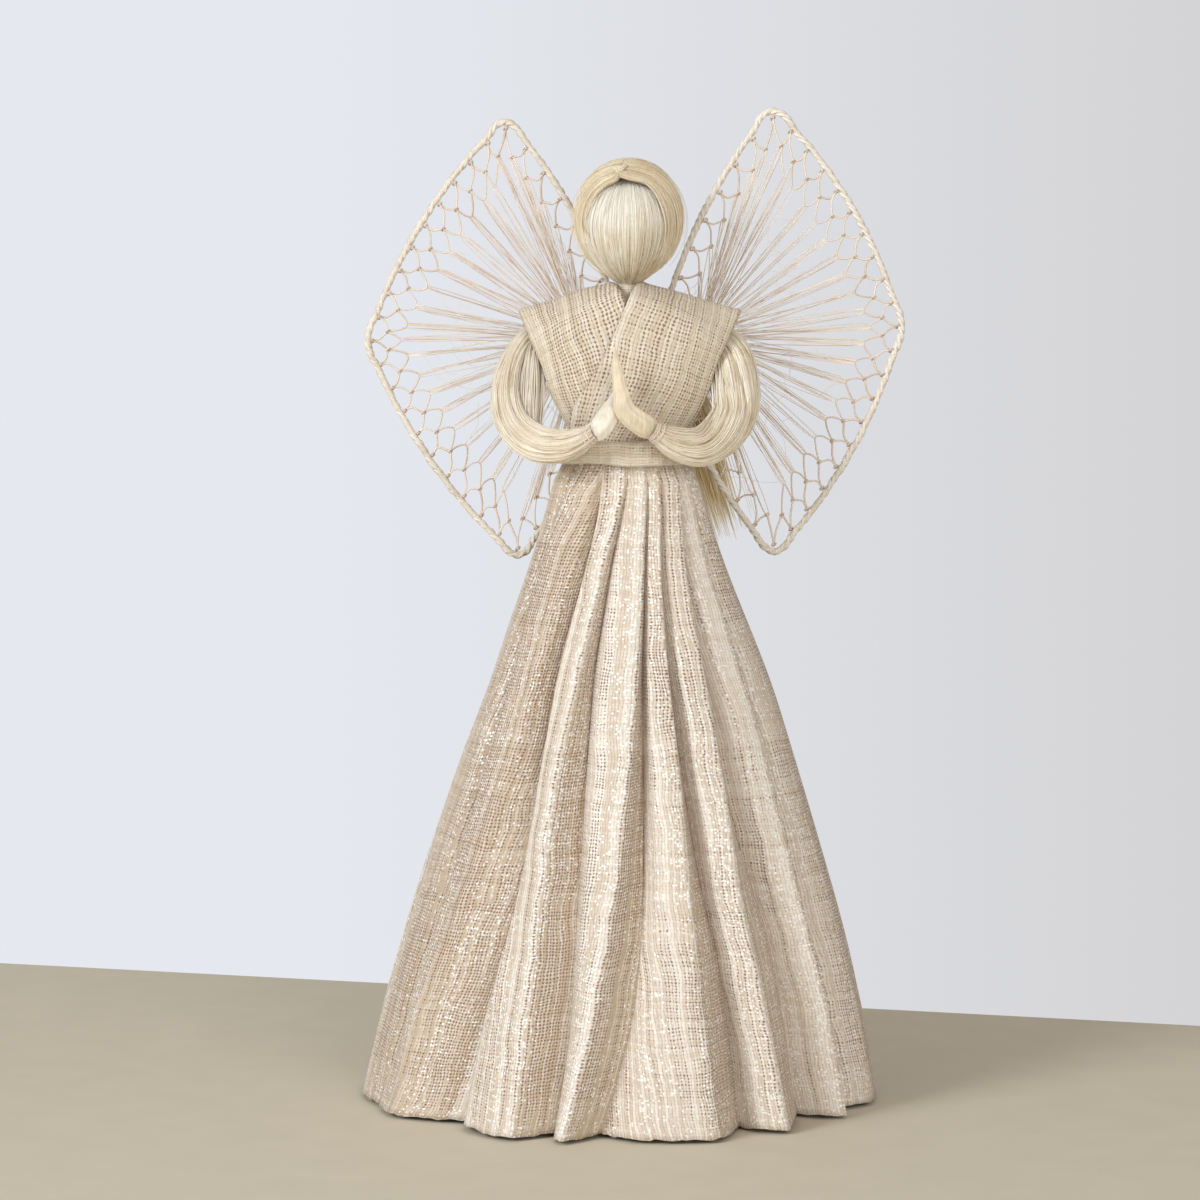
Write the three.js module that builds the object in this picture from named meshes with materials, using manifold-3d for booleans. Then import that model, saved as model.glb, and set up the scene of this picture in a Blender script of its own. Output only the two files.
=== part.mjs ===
// A small angel doll of raffia and open-weave abaca cloth, standing on the hem of its pleated skirt.
// Millimetres, +Z up. The doll faces -Y, +X is to the right as one looks at its face.
// The origin lies on the table, under the middle of the box that skirt and wings fill.

import * as THREE from 'three';
import Module from 'manifold-3d';
import { mergeVertices } from 'three/addons/utils/BufferGeometryUtils.js';

const wasm = await Module();
wasm.setup();

// Air between two pieces that touch, so that each stays a body of its own
const fitGap = 0.3;

// Skirt: one stiff pleated cloth, gathered at the waist and open below
const skirtCloth = 0.8;
const skirtTop = 188.5;
const skirtShoulder = 178;
const gatherHalfWidth = 17.4;
const gatherHalfDepth = 14.2;
const shoulderHalfWidth = 23.4;
const shoulderDepthShare = 0.8;
const hemRadius = 74.2;
const hemCentreX = -4.5;
const skirtBelly = 2.7;
const skirtSway = 1.4;
const pleatDepthAtGather = 0.5;
const pleatDepthAtShoulder = 1.6;
const pleatDepthAtHem = 11;
const skirtLevels = [0, 0.12, 0.28, 0.46, 0.64, 0.82, 1];
// Each fold line down the front, a zigzag of narrow valleys and sharp ridges: its angle at each level,
// in degrees from straight ahead, and its depth at the waist and at the hem, 0 on a ridge and 1 in a valley
const frontFolds = [
  [[-92, -90, -88, -86, -85, -85, -85], 0, 0],
  [[-70, -77, -75, -74, -74, -75, -77], 0.1, 0.15],
  [[-48, -64, -60, -60, -63, -67, -71], 1, 0.35],
  [[-19, -35.5, -42, -44.5, -51, -59, -61], 0, 0],
  [[-16.5, -33, -38.5, -36, -36.5, -42.3, -44], 1, 1],
  [[0, -15.5, -22, -26, -25, -24.3, -24.6], 0, 0],
  [[2.5, -13.2, -18.8, -17.8, -15.3, -14, -15.8], 1, 1],
  [[7, 5, 2.4, -0.7, -4, -8, -13], 0, 0],
  [[10, 8, 6, 6.3, 5.5, 3, -4.9], 1, 1],
  [[14, 13.5, 15, 17, 17, 18.5, 21.4], 0, 0],
  [[17.5, 17.2, 19, 23, 26, 31, 33.5], 1, 1],
  [[31, 32.5, 32, 33, 32.5, 35.8, 38.8], 0, 0],
  [[34, 36, 37, 42, 49, 53.5, 55.5], 1, 1],
  [[51, 54, 55, 56.5, 56, 58.5, 60], 0, 0],
  [[56, 58.5, 60.5, 63, 65, 66.5, 67.5], 0.8, 0.8],
  [[70, 71, 72, 73, 74, 75, 76], 0, 0],
  [[90, 90, 90, 90, 90, 90, 90], 0, 0],
];
// Past its valley a pleat rises to a crease, then lies nearly flat up to its ridge
const creaseAcross = 0.3;
const creaseDepth = 0.42;
const backPleats = 7;
const backFoldShare = 0.24;

// Waistband: a folded cloth band over the gathers
const bandRise = 2.1;
const bandHeight = 7.2;
const bandThickness = 2;
const bandRound = 0.7;

// The shoulder carries arms, wings, neck and head, whose heights are counted from it
const shoulderHeight = 226.4;
const aboveShoulder = (rise) => shoulderHeight + rise;
const fromShoulder = (points) => points.map(([x, y, rise]) => [x, y, aboveShoulder(rise)]);

// Body core: a roll of raffia from inside the skirt up to the neck, its levels counted from the skirt's top
// and from the shoulder
const coreX = -2.5;
const coreInSkirt = [-36.5, -24.5, -10.5, -0.5];
const coreInBodice = [-24.4, -12.4, -3.4, 2.6, 6.6];
const coreHalfWidths = [7, 10.5, 15.2, 15.2, 14.4, 14.6, 12.2, 7, 2.4];
const coreHalfDepths = [7, 9.5, 12.1, 12.1, 12, 12.2, 10.6, 6.4, 2.4];
const neckRise = 10.8;
const coreSides = 18;

// Bodice: two folded cloth strips that cross on the chest and on the back.
// Both lie round one body shape. Above its foot it is given by height from the shoulder, half width and
// half depth.
const stripCloth = 0.8;
const layerGap = 1;
const stripTuck = 1.3;
const footHalfWidth = 16.3;
const footHalfDepth = 13.3;
const bodiceShape = [[-23, 24.8, 14.6], [-16.4, 27, 14.4], [-8.6, 31, 13.2], [-0.4, 31, 11]];
// Cross lines of a strip, from the waist in front up to below the shoulder: for its outer and its inner
// edge the angle from straight ahead, and above the foot the height from the shoulder
const footAngles = [62, -62];
const stripLines = [
  [[60, -23], [-17.5, -16.4]],
  [[60, -8.6], [2, 4.5]],
];
const leftShoulderReach = 30.5;
const rightShoulderReach = 32.7;
const collarRise = 8.2;
const collarReach = 6.4;

// Head: a ball under a veil of drawn fibres, which is tied at the neck
const headX = -1.8;
const headY = -1;
const headRise = 24.6;
const ballRadius = 13;
const veilThickness = 0.7;
const neckHalfWidth = 3.6;
const veilFootRise = 7.2;

// Hair: two hanks combed from a parting over the sides of the head to the nape
const hairHalfWidth = 16.5;
const hairHalfDepth = 16.8;
const hairHalfHeight = 17.4;
const hairLift = 2;
const partingX = -4.5;
const faceHalfWidth = 13.7;
const faceHalfHeight = 13.3;
const faceDrop = 0.2;
const chinHalfWidth = 6.9;
const hairFront = -2;
const hairFootDrop = 14.6;
const knotHalfSizes = [2.3, 1.7, 2.1];
const knotTilt = 33;

// Hair tail: a loose hank that falls behind the right wing, tied at the nape
const tailRoute = fromShoulder([[-2, 9, 15.1], [-1.6, 15, 11.6], [-0.5, 20, 7.1], [3, 24.5, 0.6],
  [8.5, 26.2, -12.4], [16, 27, -32.4], [24.5, 27, -66.4]]);
const tailHalfWidths = [3, 3, 3.1, 4.2, 5.4, 6.2, 5.2];
const tailFlatness = 0.62;

// Arms: raffia bundles over one wire that crosses the body at the shoulders
const armWireRadius = 0.5;
const armBoreGap = 0.35;
const armSides = 10;
const leftArmRoute = fromShoulder([[-11, 1.5, -4.4], [-20, 1.5, -4.4], [-27, 1, -5.4], [-31.6, -1, -10.2],
  [-33.6, -5, -18.9], [-33.6, -9, -27.4], [-30, -13.5, -33.8], [-24.4, -18, -37.2],
  [-17.6, -22.2, -36.2], [-11.4, -25.4, -32.8]]);
const leftArmHalfWidths = [2.4, 2.7, 3, 4.3, 5.6, 6, 5.9, 5.6, 4.3, 2.6];
const rightArmRoute = fromShoulder([[6, 1.5, -4.4], [15, 1.5, -4.4], [22, 1, -5.5], [27.2, -1, -11],
  [28.4, -5, -20.4], [27.6, -9, -28.8], [23.6, -13.5, -35], [17.8, -18, -37.6], [10.8, -22, -36],
  [4.4, -25.2, -32.2]]);
const rightArmHalfWidths = [2.4, 2.7, 3.2, 5.2, 6.4, 6.4, 6.1, 5.6, 4.4, 2.6];

// Hands: two stiff leaf shapes held palm to palm, tips up
const rightHandRoute = fromShoulder([[-2.2, -27, -25], [-4.6, -26.2, -19], [-5.8, -25, -11.8]]);
const leftHandRoute = fromShoulder([[-6.8, -23.6, -25.4], [-5.2, -22.2, -19.8], [-4.6, -21.9, -14.5]]);
const handHalfWidths = [2.2, 3.3, 3, 1.8, 0.5];
const wristRun = 2.6;
const handFlatness = 0.55;

// Thread ties: windings of thread, each one unbroken tube
const threadRadius = 0.42;
const loopSteps = 12;
const threadSides = 5;
const leastThreadGap = 0.4;
const pitchSpare = 0.16;
const wristBindAt = 0.55;
const leftWristTurns = 5;
const rightWristTurns = 4;
const neckTurns = 2;
const napeTurns = 2;
const napeSlack = 0.7;
const rootTurns = 4;
const rootThreadRadius = 0.5;
const waistThreadRadius = 0.55;
const waistTurns = 2;
const waistLoopSteps = 24;
const wristSlack = 0.3;

// Wings: a kite of raffia-wrapped wire, two rows of looped lace inside it, and a fan of fibres
const wingY = 18.4;
const wingWireRadius = 0.45;
const wingBoreGap = 0.35;
const wrapThickness = 0.45;
const wingSides = 6;
const stemDrop = 8;
const stemHeight = aboveShoulder(-stemDrop);
const stemSpacing = 2;
const stemMeetX = 2;
const stemLength = 3.4;
const stemPoints = 3;
const stemFlatness = 0.7;
// Corners of each wing across, and up or down from its root. The lower tips hang clear of the skirt,
// so their height is counted down from the skirt's shoulder.
const tipsBelowSkirtShoulder = 27.4;
const tipRise = skirtShoulder - tipsBelowSkirtShoulder - stemHeight;
const leftWing = {
  root: [-2.2, 0],
  top: [-37, 66.6],
  outer: [-79.9, -1.2],
  bottom: [-33.4, tipRise],
  rounding: [10, 9, 10],
  bow: 3,
};
const rightWing = {
  root: [6.4, 0],
  top: [39.6, 71.2],
  outer: [79.8, 3.2],
  bottom: [40.6, tipRise],
  rounding: [13, 9, 12],
  bow: 3,
};
const cellsOnSides = [8, 10, 10, 8];
const laceThickness = 1;
const laceThread = 0.85;
const netGap = 0.4;
const firstRowDepth = 3.4;
const secondRowDepth = 4.2;
const fanThickness = 0.8;
const strandHalfWidth = 0.55;
const hubOffset = 12.4;
const flankDepthShare = 0.55;
const flankInset = 0.2;
const shortestStrand = 2.5;
const loopLean = 0.75;

// Colours of the materials as they look in daylight
const colours = {
  cloth: 0xdccfb9, bodice: 0xcabf9f, core: 0xc8b088, ball: 0xefeae0, fibre: 0xe3d5ad, tail: 0xd6ab63,
  thread: 0xe8dcc8, wire: 0x8d8f92, wrap: 0xcdc3b2, lace: 0xc59f87, fan: 0xccb09a, hand: 0xd2b48c,
};
const finishes = { wire: [0.35, 0.9] };

const radians = THREE.MathUtils.degToRad;
const vector = ([x, y, z]) => new THREE.Vector3(x, y, z);
const angel = new THREE.Group();
angel.name = 'raffia_angel_doll';

// Geometry shared by the pieces

// Turns a closed geometry's faces outward, whichever way its rings ran
function facingOut(geometry) {
  const corner = [new THREE.Vector3(), new THREE.Vector3(), new THREE.Vector3()];
  const index = geometry.index.array;
  let volume = 0;
  for (let i = 0; i < index.length; i += 3) {
    corner.forEach((point, k) => point.fromBufferAttribute(geometry.attributes.position, index[i + k]));
    volume += corner[0].dot(corner[1].cross(corner[2]));
  }
  if (volume < 0) {
    for (let i = 0; i < index.length; i += 3) {
      [index[i], index[i + 1]] = [index[i + 1], index[i]];
    }
  }
  return geometry;
}

// Skins a body over rings of points: joined round from the last ring to the first, or closed at both ends
// by crosswise faces, which also suit the thin bent ring of a sheet
function skin(rings, joined = false) {
  const around = rings[0].length;
  const points = rings.flat();
  const index = [];
  const spans = joined ? rings.length : rings.length - 1;
  for (let r = 0; r < spans; r++) {
    const next = (r + 1) % rings.length;
    for (let i = 0; i < around; i++) {
      const j = (i + 1) % around;
      index.push(r * around + i, r * around + j, next * around + j);
      index.push(r * around + i, next * around + j, next * around + i);
    }
  }
  if (!joined) {
    for (const [start, flip] of [[0, true], [(rings.length - 1) * around, false]]) {
      const add = (...corners) => index.push(...(flip ? corners.reverse() : corners).map((k) => start + k));
      for (let i = 0, j = around - 1; i + 1 < j; i++, j--) {
        add(i, i + 1, j);
        if (i + 1 < j - 1) add(i + 1, j - 1, j);
      }
    }
  }
  const geometry = new THREE.BufferGeometry().setFromPoints(points);
  geometry.setIndex(index);
  return facingOut(geometry);
}

// A smooth run of values, one for each point of a route
function smoothly(values) {
  const spline = new THREE.SplineCurve(values.map((value, i) => new THREE.Vector2(i, value)));
  return (t) => spline.getPoint(t).y;
}

// Rings of a round or oval section along a path, each square to it
function ringsAlong(path, steps, sides, halfWidth, upward, flatness = 1, from = 0, to = 1) {
  const rings = [];
  for (let step = 0; step <= steps; step++) {
    const t = from + (to - from) * step / steps;
    const along = path.getTangent(t);
    const across = new THREE.Vector3().crossVectors(along, upward).normalize();
    const up = new THREE.Vector3().crossVectors(across, along);
    const half = halfWidth(t);
    rings.push(Array.from({ length: sides }, (_, i) => {
      const turn = 2 * Math.PI * i / sides;
      return path.getPoint(t)
        .addScaledVector(across, half * Math.cos(turn))
        .addScaledVector(up, half * flatness * Math.sin(turn));
    }));
  }
  return rings;
}

// A body as a solid that can be cut, and back
function solid(geometry) {
  const plain = geometry.clone();
  plain.deleteAttribute('normal');
  plain.deleteAttribute('uv');
  const merged = mergeVertices(plain, 1e-4);
  return new wasm.Manifold(new wasm.Mesh({
    numProp: 3,
    vertProperties: Float32Array.from(merged.attributes.position.array),
    triVerts: Uint32Array.from(merged.index.array),
  }));
}

function shape(body) {
  const mesh = body.getMesh();
  const geometry = new THREE.BufferGeometry();
  geometry.setAttribute('position', new THREE.BufferAttribute(Float32Array.from(mesh.vertProperties), 3));
  geometry.setIndex(Array.from(mesh.triVerts));
  return geometry;
}

function ellipsoid(centre, halfSizes, across = 20, high = 14) {
  return new THREE.SphereGeometry(1, across, high)
    .rotateX(Math.PI / 2)
    .scale(...halfSizes)
    .translate(...centre);
}

// A block that fills a box between two corners, for cutting
function block(low, high) {
  return new THREE.BoxGeometry(high[0] - low[0], high[1] - low[1], high[2] - low[2])
    .translate((low[0] + high[0]) / 2, (low[1] + high[1]) / 2, (low[2] + high[2]) / 2);
}

function place(name, geometry, finish) {
  const [roughness, metalness] = finishes[finish] ?? [0.85, 0];
  geometry.computeVertexNormals();
  const material = new THREE.MeshStandardMaterial({ color: colours[finish], roughness, metalness });
  const mesh = new THREE.Mesh(geometry, material);
  mesh.name = name;
  angel.add(mesh);
}

// Skirt

// Where a fold line stands at a share of the way from the skirt's shoulder to its hem
function skirtPoint(share, angle, fold) {
  const middle = shoulderHalfWidth + (hemRadius - shoulderHalfWidth) * share;
  const halfWidth = middle + skirtBelly * Math.sin(Math.PI * share * share);
  const depthShare = shoulderDepthShare + (1 - shoulderDepthShare) * Math.sqrt(share);
  const inward = fold * (pleatDepthAtShoulder + (pleatDepthAtHem - pleatDepthAtShoulder) * share);
  const centreX = coreX + (hemCentreX - coreX) * share + skirtSway * Math.sin(Math.PI * share);
  return new THREE.Vector3(
    centreX + (halfWidth - inward) * Math.sin(angle),
    -(halfWidth - inward) * depthShare * Math.cos(angle),
    skirtShoulder * (1 - share),
  );
}

function gatherPoint(z, angle, fold) {
  const inward = fold * pleatDepthAtGather;
  return new THREE.Vector3(
    coreX + (gatherHalfWidth - inward) * Math.sin(angle),
    -(gatherHalfDepth - inward) * Math.cos(angle),
    z,
  );
}

// The same outline drawn in all round by a distance, at a sharp corner by no more than twice as much
const cornerReach = 2;
function drawnIn(outline, distance) {
  const inward = THREE.ShapeUtils.isClockWise(outline) ? -1 : 1;
  return outline.map((point, i) => {
    const before = outline[(i + outline.length - 1) % outline.length];
    const after = outline[(i + 1) % outline.length];
    const normals = [[before, point], [point, after]].map(([a, b]) => (
      new THREE.Vector2(a.y - b.y, b.x - a.x).normalize()));
    const mean = normals[0].clone().add(normals[1]).normalize();
    const reach = inward * distance * Math.min(1 / mean.dot(normals[0]), cornerReach);
    return new THREE.Vector2(point.x, point.y).addScaledVector(mean, reach);
  });
}

const fullTurn = 360;
const creasedFolds = frontFolds.flatMap(([turns, waistDepth, hemDepth], i) => {
  const line = { turns, depths: [waistDepth, hemDepth] };
  const [ridgeTurns, ridgeDepth] = frontFolds[i + 1] ?? [turns, waistDepth];
  if (ridgeDepth >= waistDepth) return [line];
  const crease = {
    turns: turns.map((turn, level) => THREE.MathUtils.lerp(turn, ridgeTurns[level], creaseAcross)),
    depths: line.depths.map((depth) => creaseDepth * depth),
  };
  return [line, crease];
});
const backStart = frontFolds.at(-1)[0][0];
const backSpan = (fullTurn + frontFolds[0][0][0] - backStart) / backPleats;
const backFolds = Array.from({ length: backPleats }, (_, i) => {
  const start = backStart + i * backSpan;
  const [gap, edge] = [backFoldShare * backSpan, backSpan / 8];
  const lines = [[start + edge, 1], [start + edge + gap, 1], [start + 2 * edge + gap, 0]];
  if (i < backPleats - 1) lines.push([start + backSpan, 0]);
  return lines.map(([turn, depth]) => ({ turns: skirtLevels.map(() => turn), depths: [depth, depth] }));
}).flat();

const folds = [...creasedFolds, ...backFolds];
const bandTop = skirtTop + bandRise;
const bandBottom = bandTop - bandHeight;
const bandLevels = [skirtTop, bandBottom + fitGap];
const skirtOutside = [
  ...bandLevels.map((z) => folds.map(({ turns, depths }) => gatherPoint(z, radians(turns[0]), depths[0]))),
  ...skirtLevels.map((share, level) => folds.map(({ turns, depths }) => (
    skirtPoint(share, radians(turns[level]), THREE.MathUtils.lerp(...depths, share))
  ))),
];
const skirtInside = skirtOutside.toReversed().map((ring) => (
  drawnIn(ring, skirtCloth).map((point) => new THREE.Vector3(point.x, point.y, ring[0].z))
));
place('skirt', skin([...skirtOutside, ...skirtInside], true), 'cloth');

// Body core

const coreLevels = [...coreInSkirt.map((rise) => skirtTop + rise), ...coreInBodice.map(aboveShoulder)];
const neckTop = aboveShoulder(neckRise);

function coreShape(clearance) {
  const rings = coreLevels.map((z, level) => Array.from({ length: coreSides }, (_, i) => {
    const turn = 2 * Math.PI * i / coreSides;
    const neckShare = THREE.MathUtils.smoothstep(z, coreLevels.at(-3), coreLevels.at(-1));
    return new THREE.Vector3(
      THREE.MathUtils.lerp(coreX, headX, neckShare) + (coreHalfWidths[level] + clearance) * Math.cos(turn),
      headY * neckShare + (coreHalfDepths[level] + clearance) * Math.sin(turn),
      z,
    );
  }));
  rings.push(rings.at(-1).map((point) => point.clone().setZ(neckTop)));
  return solid(skin(rings));
}

const core = coreShape(0);
const coreSpace = coreShape(1.2 * fitGap);

// Waistband

const bandGap = 2 * waistThreadRadius + 4 * fitGap;
const bandInside = [gatherHalfWidth + bandGap, gatherHalfDepth + bandGap];
const bandMiddle = (bandBottom + bandTop) / 2;
const bandHalf = (bandTop - bandBottom) / 2;
const bandSection = [
  [0, -bandHalf], [bandThickness - bandRound, -bandHalf], [bandThickness, bandRound - bandHalf],
  [bandThickness, bandHalf - bandRound], [bandThickness - bandRound, bandHalf], [0, bandHalf],
];
const bandSteps = 28;
place('waistband', skin(bandSection.map(([out, up]) => (
  Array.from({ length: bandSteps }, (_, i) => {
    const turn = 2 * Math.PI * i / bandSteps;
    return new THREE.Vector3(
      coreX + (bandInside[0] + out) * Math.cos(turn),
      (bandInside[1] + out) * Math.sin(turn),
      bandMiddle + up,
    );
  })
)), true), 'bodice');

// Bodice strips

const stripFoot = bandTop - stripTuck;
const bodiceLevels = [
  [stripFoot, footHalfWidth, footHalfDepth],
  ...bodiceShape.map(([rise, halfWidth, halfDepth]) => [aboveShoulder(rise), halfWidth, halfDepth]),
];

// A point on the bodice's body shape, at a distance out from it
function bodicePoint(sideways, angle, height, lift) {
  let k = 1;
  while (k < bodiceLevels.length - 1 && bodiceLevels[k][0] < height) k++;
  const [below, above] = [bodiceLevels[k - 1], bodiceLevels[k]];
  const share = (height - below[0]) / (above[0] - below[0]);
  const turn = radians(angle);
  return new THREE.Vector3(
    coreX + sideways * (THREE.MathUtils.lerp(below[1], above[1], share) + lift) * Math.sin(turn),
    -(THREE.MathUtils.lerp(below[2], above[2], share) + lift) * Math.cos(turn),
    height,
  );
}

// A cloth strip from the waist in front, over a shoulder, to the waist behind.
// The strip that lies over the other runs one layer further out.
function strip(sideways, layer, shoulderReach) {
  const across = 8;
  const linesBelow = 4;
  const lift = layer * (stripCloth + layerGap);
  const shares = Array.from({ length: across + 1 }, (_, j) => j / across);
  const edges = [0, 1].map((edge) => new THREE.SplineCurve([
    new THREE.Vector2(footAngles[edge], stripFoot),
    ...stripLines.map((line) => new THREE.Vector2(line[edge][0], aboveShoulder(line[edge][1]))),
  ]));
  const front = Array.from({ length: linesBelow + 1 }, (_, i) => {
    const [outer, inner] = edges.map((edge) => edge.getPoint(i / linesBelow));
    return shares.map((share) => {
      const { x: angle, y: height } = outer.clone().lerp(inner, share);
      return bodicePoint(sideways, angle, height, lift);
    });
  });
  const crest = shares.map((share) => new THREE.Vector3(
    coreX + sideways * THREE.MathUtils.lerp(shoulderReach, collarReach, share),
    0,
    shoulderHeight + collarRise * share,
  ));
  const behind = front.toReversed().map((line) => line.map((point) => point.clone().setY(-point.y)));
  const lines = [...front, crest, ...behind];
  const columns = shares.map((_, j) => new THREE.CatmullRomCurve3(lines.map((line) => line[j])));
  const along = 2 * (lines.length - 1);
  const grid = Array.from({ length: along + 1 }, (_, i) => columns.map((column) => column.getPoint(i / along)));
  const normalAt = (i, j) => {
    const [a, b] = [grid[Math.max(i - 1, 0)][j], grid[Math.min(i + 1, along)][j]];
    const [c, d] = [grid[i][Math.max(j - 1, 0)], grid[i][Math.min(j + 1, across)]];
    return new THREE.Vector3().crossVectors(b.clone().sub(a), d.clone().sub(c)).normalize();
  };
  return skin(grid.map((row, i) => [
    ...row.map((point, j) => point.clone().addScaledVector(normalAt(i, j), stripCloth / 2)),
    ...row.map((point, j) => point.clone().addScaledVector(normalAt(i, j), -stripCloth / 2)).reverse(),
  ]));
}

place('bodice_left', strip(-1, 0, leftShoulderReach), 'bodice');
place('bodice_right', strip(1, 1, rightShoulderReach), 'bodice');

// Arms, their wire and the hands

const leftArm = new THREE.CatmullRomCurve3(leftArmRoute.map(vector));
const rightArm = new THREE.CatmullRomCurve3(rightArmRoute.map(vector));
const armWire = new THREE.CatmullRomCurve3([...leftArmRoute.toReversed(), ...rightArmRoute].map(vector));
const backward = new THREE.Vector3(0, 1, 0);
const armBore = armWireRadius + armBoreGap;
const armRuns = leftArmRoute.length - 1;
const stepsPerRun = 2;

function arm(route, halfWidths) {
  const steps = armRuns * stepsPerRun;
  const outside = ringsAlong(route, steps, armSides, smoothly(halfWidths), backward);
  const bore = ringsAlong(route, steps, armSides, () => armBore, backward);
  return skin([...outside, ...bore.reverse()], true);
}

const wireSteps = (2 * armRuns + 1) * stepsPerRun;
const wireSides = 6;
const wire = skin(ringsAlong(armWire, wireSteps, wireSides, () => armWireRadius, backward));
place('arm_wire', wire, 'wire');
place('arm_left', shape(solid(arm(leftArm, leftArmHalfWidths)).subtract(coreSpace)), 'fibre');
place('arm_right', shape(solid(arm(rightArm, rightArmHalfWidths)).subtract(coreSpace)), 'fibre');

const crossBore = new THREE.CylinderGeometry(armBore, armBore, 4 * Math.max(...coreHalfWidths), armSides)
  .rotateZ(Math.PI / 2)
  .translate(coreX, leftArmRoute[0][1], leftArmRoute[0][2]);
place('torso_core', shape(core.subtract(solid(crossBore))), 'core');

// A hand goes on from the end of its arm and turns up to its tip
function hand(armPath, route) {
  const wrist = [fitGap, wristRun].map((run) => (
    armPath.getPoint(1).addScaledVector(armPath.getTangent(1), run)));
  const path = new THREE.CatmullRomCurve3([...wrist, ...route.map(vector)]);
  return skin(ringsAlong(path, 8, 8, smoothly(handHalfWidths), backward, handFlatness));
}

place('hand_left', hand(leftArm, leftHandRoute), 'hand');
place('hand_right', hand(rightArm, rightHandRoute), 'hand');

// Windings of thread

// A helix round a straight or bent axis: it follows the path it binds at a set distance from it
class Winding extends THREE.Curve {
  constructor(path, from, to, turns, halfWidth, flatness, upward) {
    super();
    Object.assign(this, { path, from, to, turns, halfWidth, flatness, upward });
  }

  getPoint(t, target = new THREE.Vector3()) {
    const at = this.from + (this.to - this.from) * t;
    const along = this.path.getTangent(at);
    const across = new THREE.Vector3().crossVectors(along, this.upward).normalize();
    const up = new THREE.Vector3().crossVectors(across, along);
    const turn = 2 * Math.PI * this.turns * t;
    const half = this.halfWidth(at);
    return target.copy(this.path.getPoint(at))
      .addScaledVector(across, half * Math.cos(turn))
      .addScaledVector(up, half * this.flatness * Math.sin(turn));
  }
}

// The least air between one turn of a winding and the next, measured on its points
function leastGap(winding, radius) {
  const points = winding.getPoints(winding.turns * 48);
  let least = Infinity;
  points.forEach((point, i) => {
    for (let j = i + 30; j < points.length; j++) least = Math.min(least, point.distanceTo(points[j]));
  });
  return least - 2 * radius;
}

function wind(name, path, middle, turns, bound, flatness = 1, radius = threadRadius, perTurn = loopSteps) {
  const pitch = 2 * radius + leastThreadGap + pitchSpare;
  const speed = path.getPoint(middle - 0.02).distanceTo(path.getPoint(middle + 0.02)) / 0.04;
  const span = turns * pitch / speed;
  const facet = Math.cos(Math.PI / perTurn);
  const reach = (fitGap + radius) / facet;
  const halfWidth = (t) => bound(t) / facet + reach;
  const oval = (bound(middle) * flatness + reach) / (bound(middle) + reach);
  const winding = new Winding(path, middle - span / 2, middle + span / 2, turns, halfWidth, oval, backward);
  const gap = leastGap(winding, radius);
  console.log(`${name}: least gap between turns ${gap.toFixed(2)} mm, wanted over ${leastThreadGap}`);
  const steps = turns * perTurn;
  place(name, skin(ringsAlong(winding, steps, threadSides, () => radius, winding.path.getTangent(middle))),
    'thread');
}

// A wrist is bound on the last run of its arm, where the bundle is nearly straight
function bindWrist(name, armPath, halfWidths, turns) {
  const line = new THREE.LineCurve3(armPath.getPoint(1 - 1 / armRuns), armPath.getPoint(1));
  const width = smoothly(halfWidths);
  wind(name, line, wristBindAt, turns, (t) => width(1 - (1 - t) / armRuns) + wristSlack);
}

bindWrist('wrist_tie_left', leftArm, leftArmHalfWidths, leftWristTurns);
bindWrist('wrist_tie_right', rightArm, rightArmHalfWidths, rightWristTurns);

const waistLine = new THREE.LineCurve3(
  new THREE.Vector3(coreX, 0, bandBottom), new THREE.Vector3(coreX, 0, skirtTop));
wind('waist_tie', waistLine, 0.5, waistTurns, () => gatherHalfWidth, gatherHalfDepth / gatherHalfWidth,
  waistThreadRadius, waistLoopSteps);

// Head, veil and neck tie

const headZ = aboveShoulder(headRise);
const veilFoot = aboveShoulder(veilFootRise);
const headSides = 20;
const facetAllowance = 1 / Math.cos(Math.PI / headSides);
place('head_core', ellipsoid([headX, headY, headZ], [ballRadius, ballRadius, ballRadius], headSides, 9), 'ball');

const veilInside = ballRadius * facetAllowance + fitGap;
const veilOutside = veilInside + veilThickness;
const neckInside = neckHalfWidth - veilThickness;

// One side of the veil from its crown down to the neck
function veilSide(radius, neck, foot) {
  const fromDown = Math.asin((neck + 1) / radius);
  const points = Array.from({ length: 10 }, (_, i) => {
    const turn = (Math.PI - fromDown) * i / 9;
    return new THREE.Vector2(radius * Math.sin(turn), radius * Math.cos(turn));
  });
  points.push(new THREE.Vector2(neck, -Math.sqrt(radius * radius - neck * neck) - 0.8));
  points.push(new THREE.Vector2(neck, foot - headZ));
  return points;
}

const veilProfile = [
  ...veilSide(veilOutside, neckHalfWidth, veilFoot),
  ...veilSide(veilInside, neckInside, veilFoot).reverse(),
];
veilProfile[0].x = 0;
veilProfile.at(-1).x = 0;
place('face_fibres', new THREE.LatheGeometry(veilProfile.reverse(), headSides)
  .rotateX(Math.PI / 2)
  .translate(headX, headY, headZ), 'fibre');

const neckLine = new THREE.LineCurve3(
  new THREE.Vector3(headX, headY, veilFoot), new THREE.Vector3(headX, headY, neckTop));
wind('neck_tie', neckLine, 0.4, neckTurns, () => neckHalfWidth);

// Hair

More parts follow.
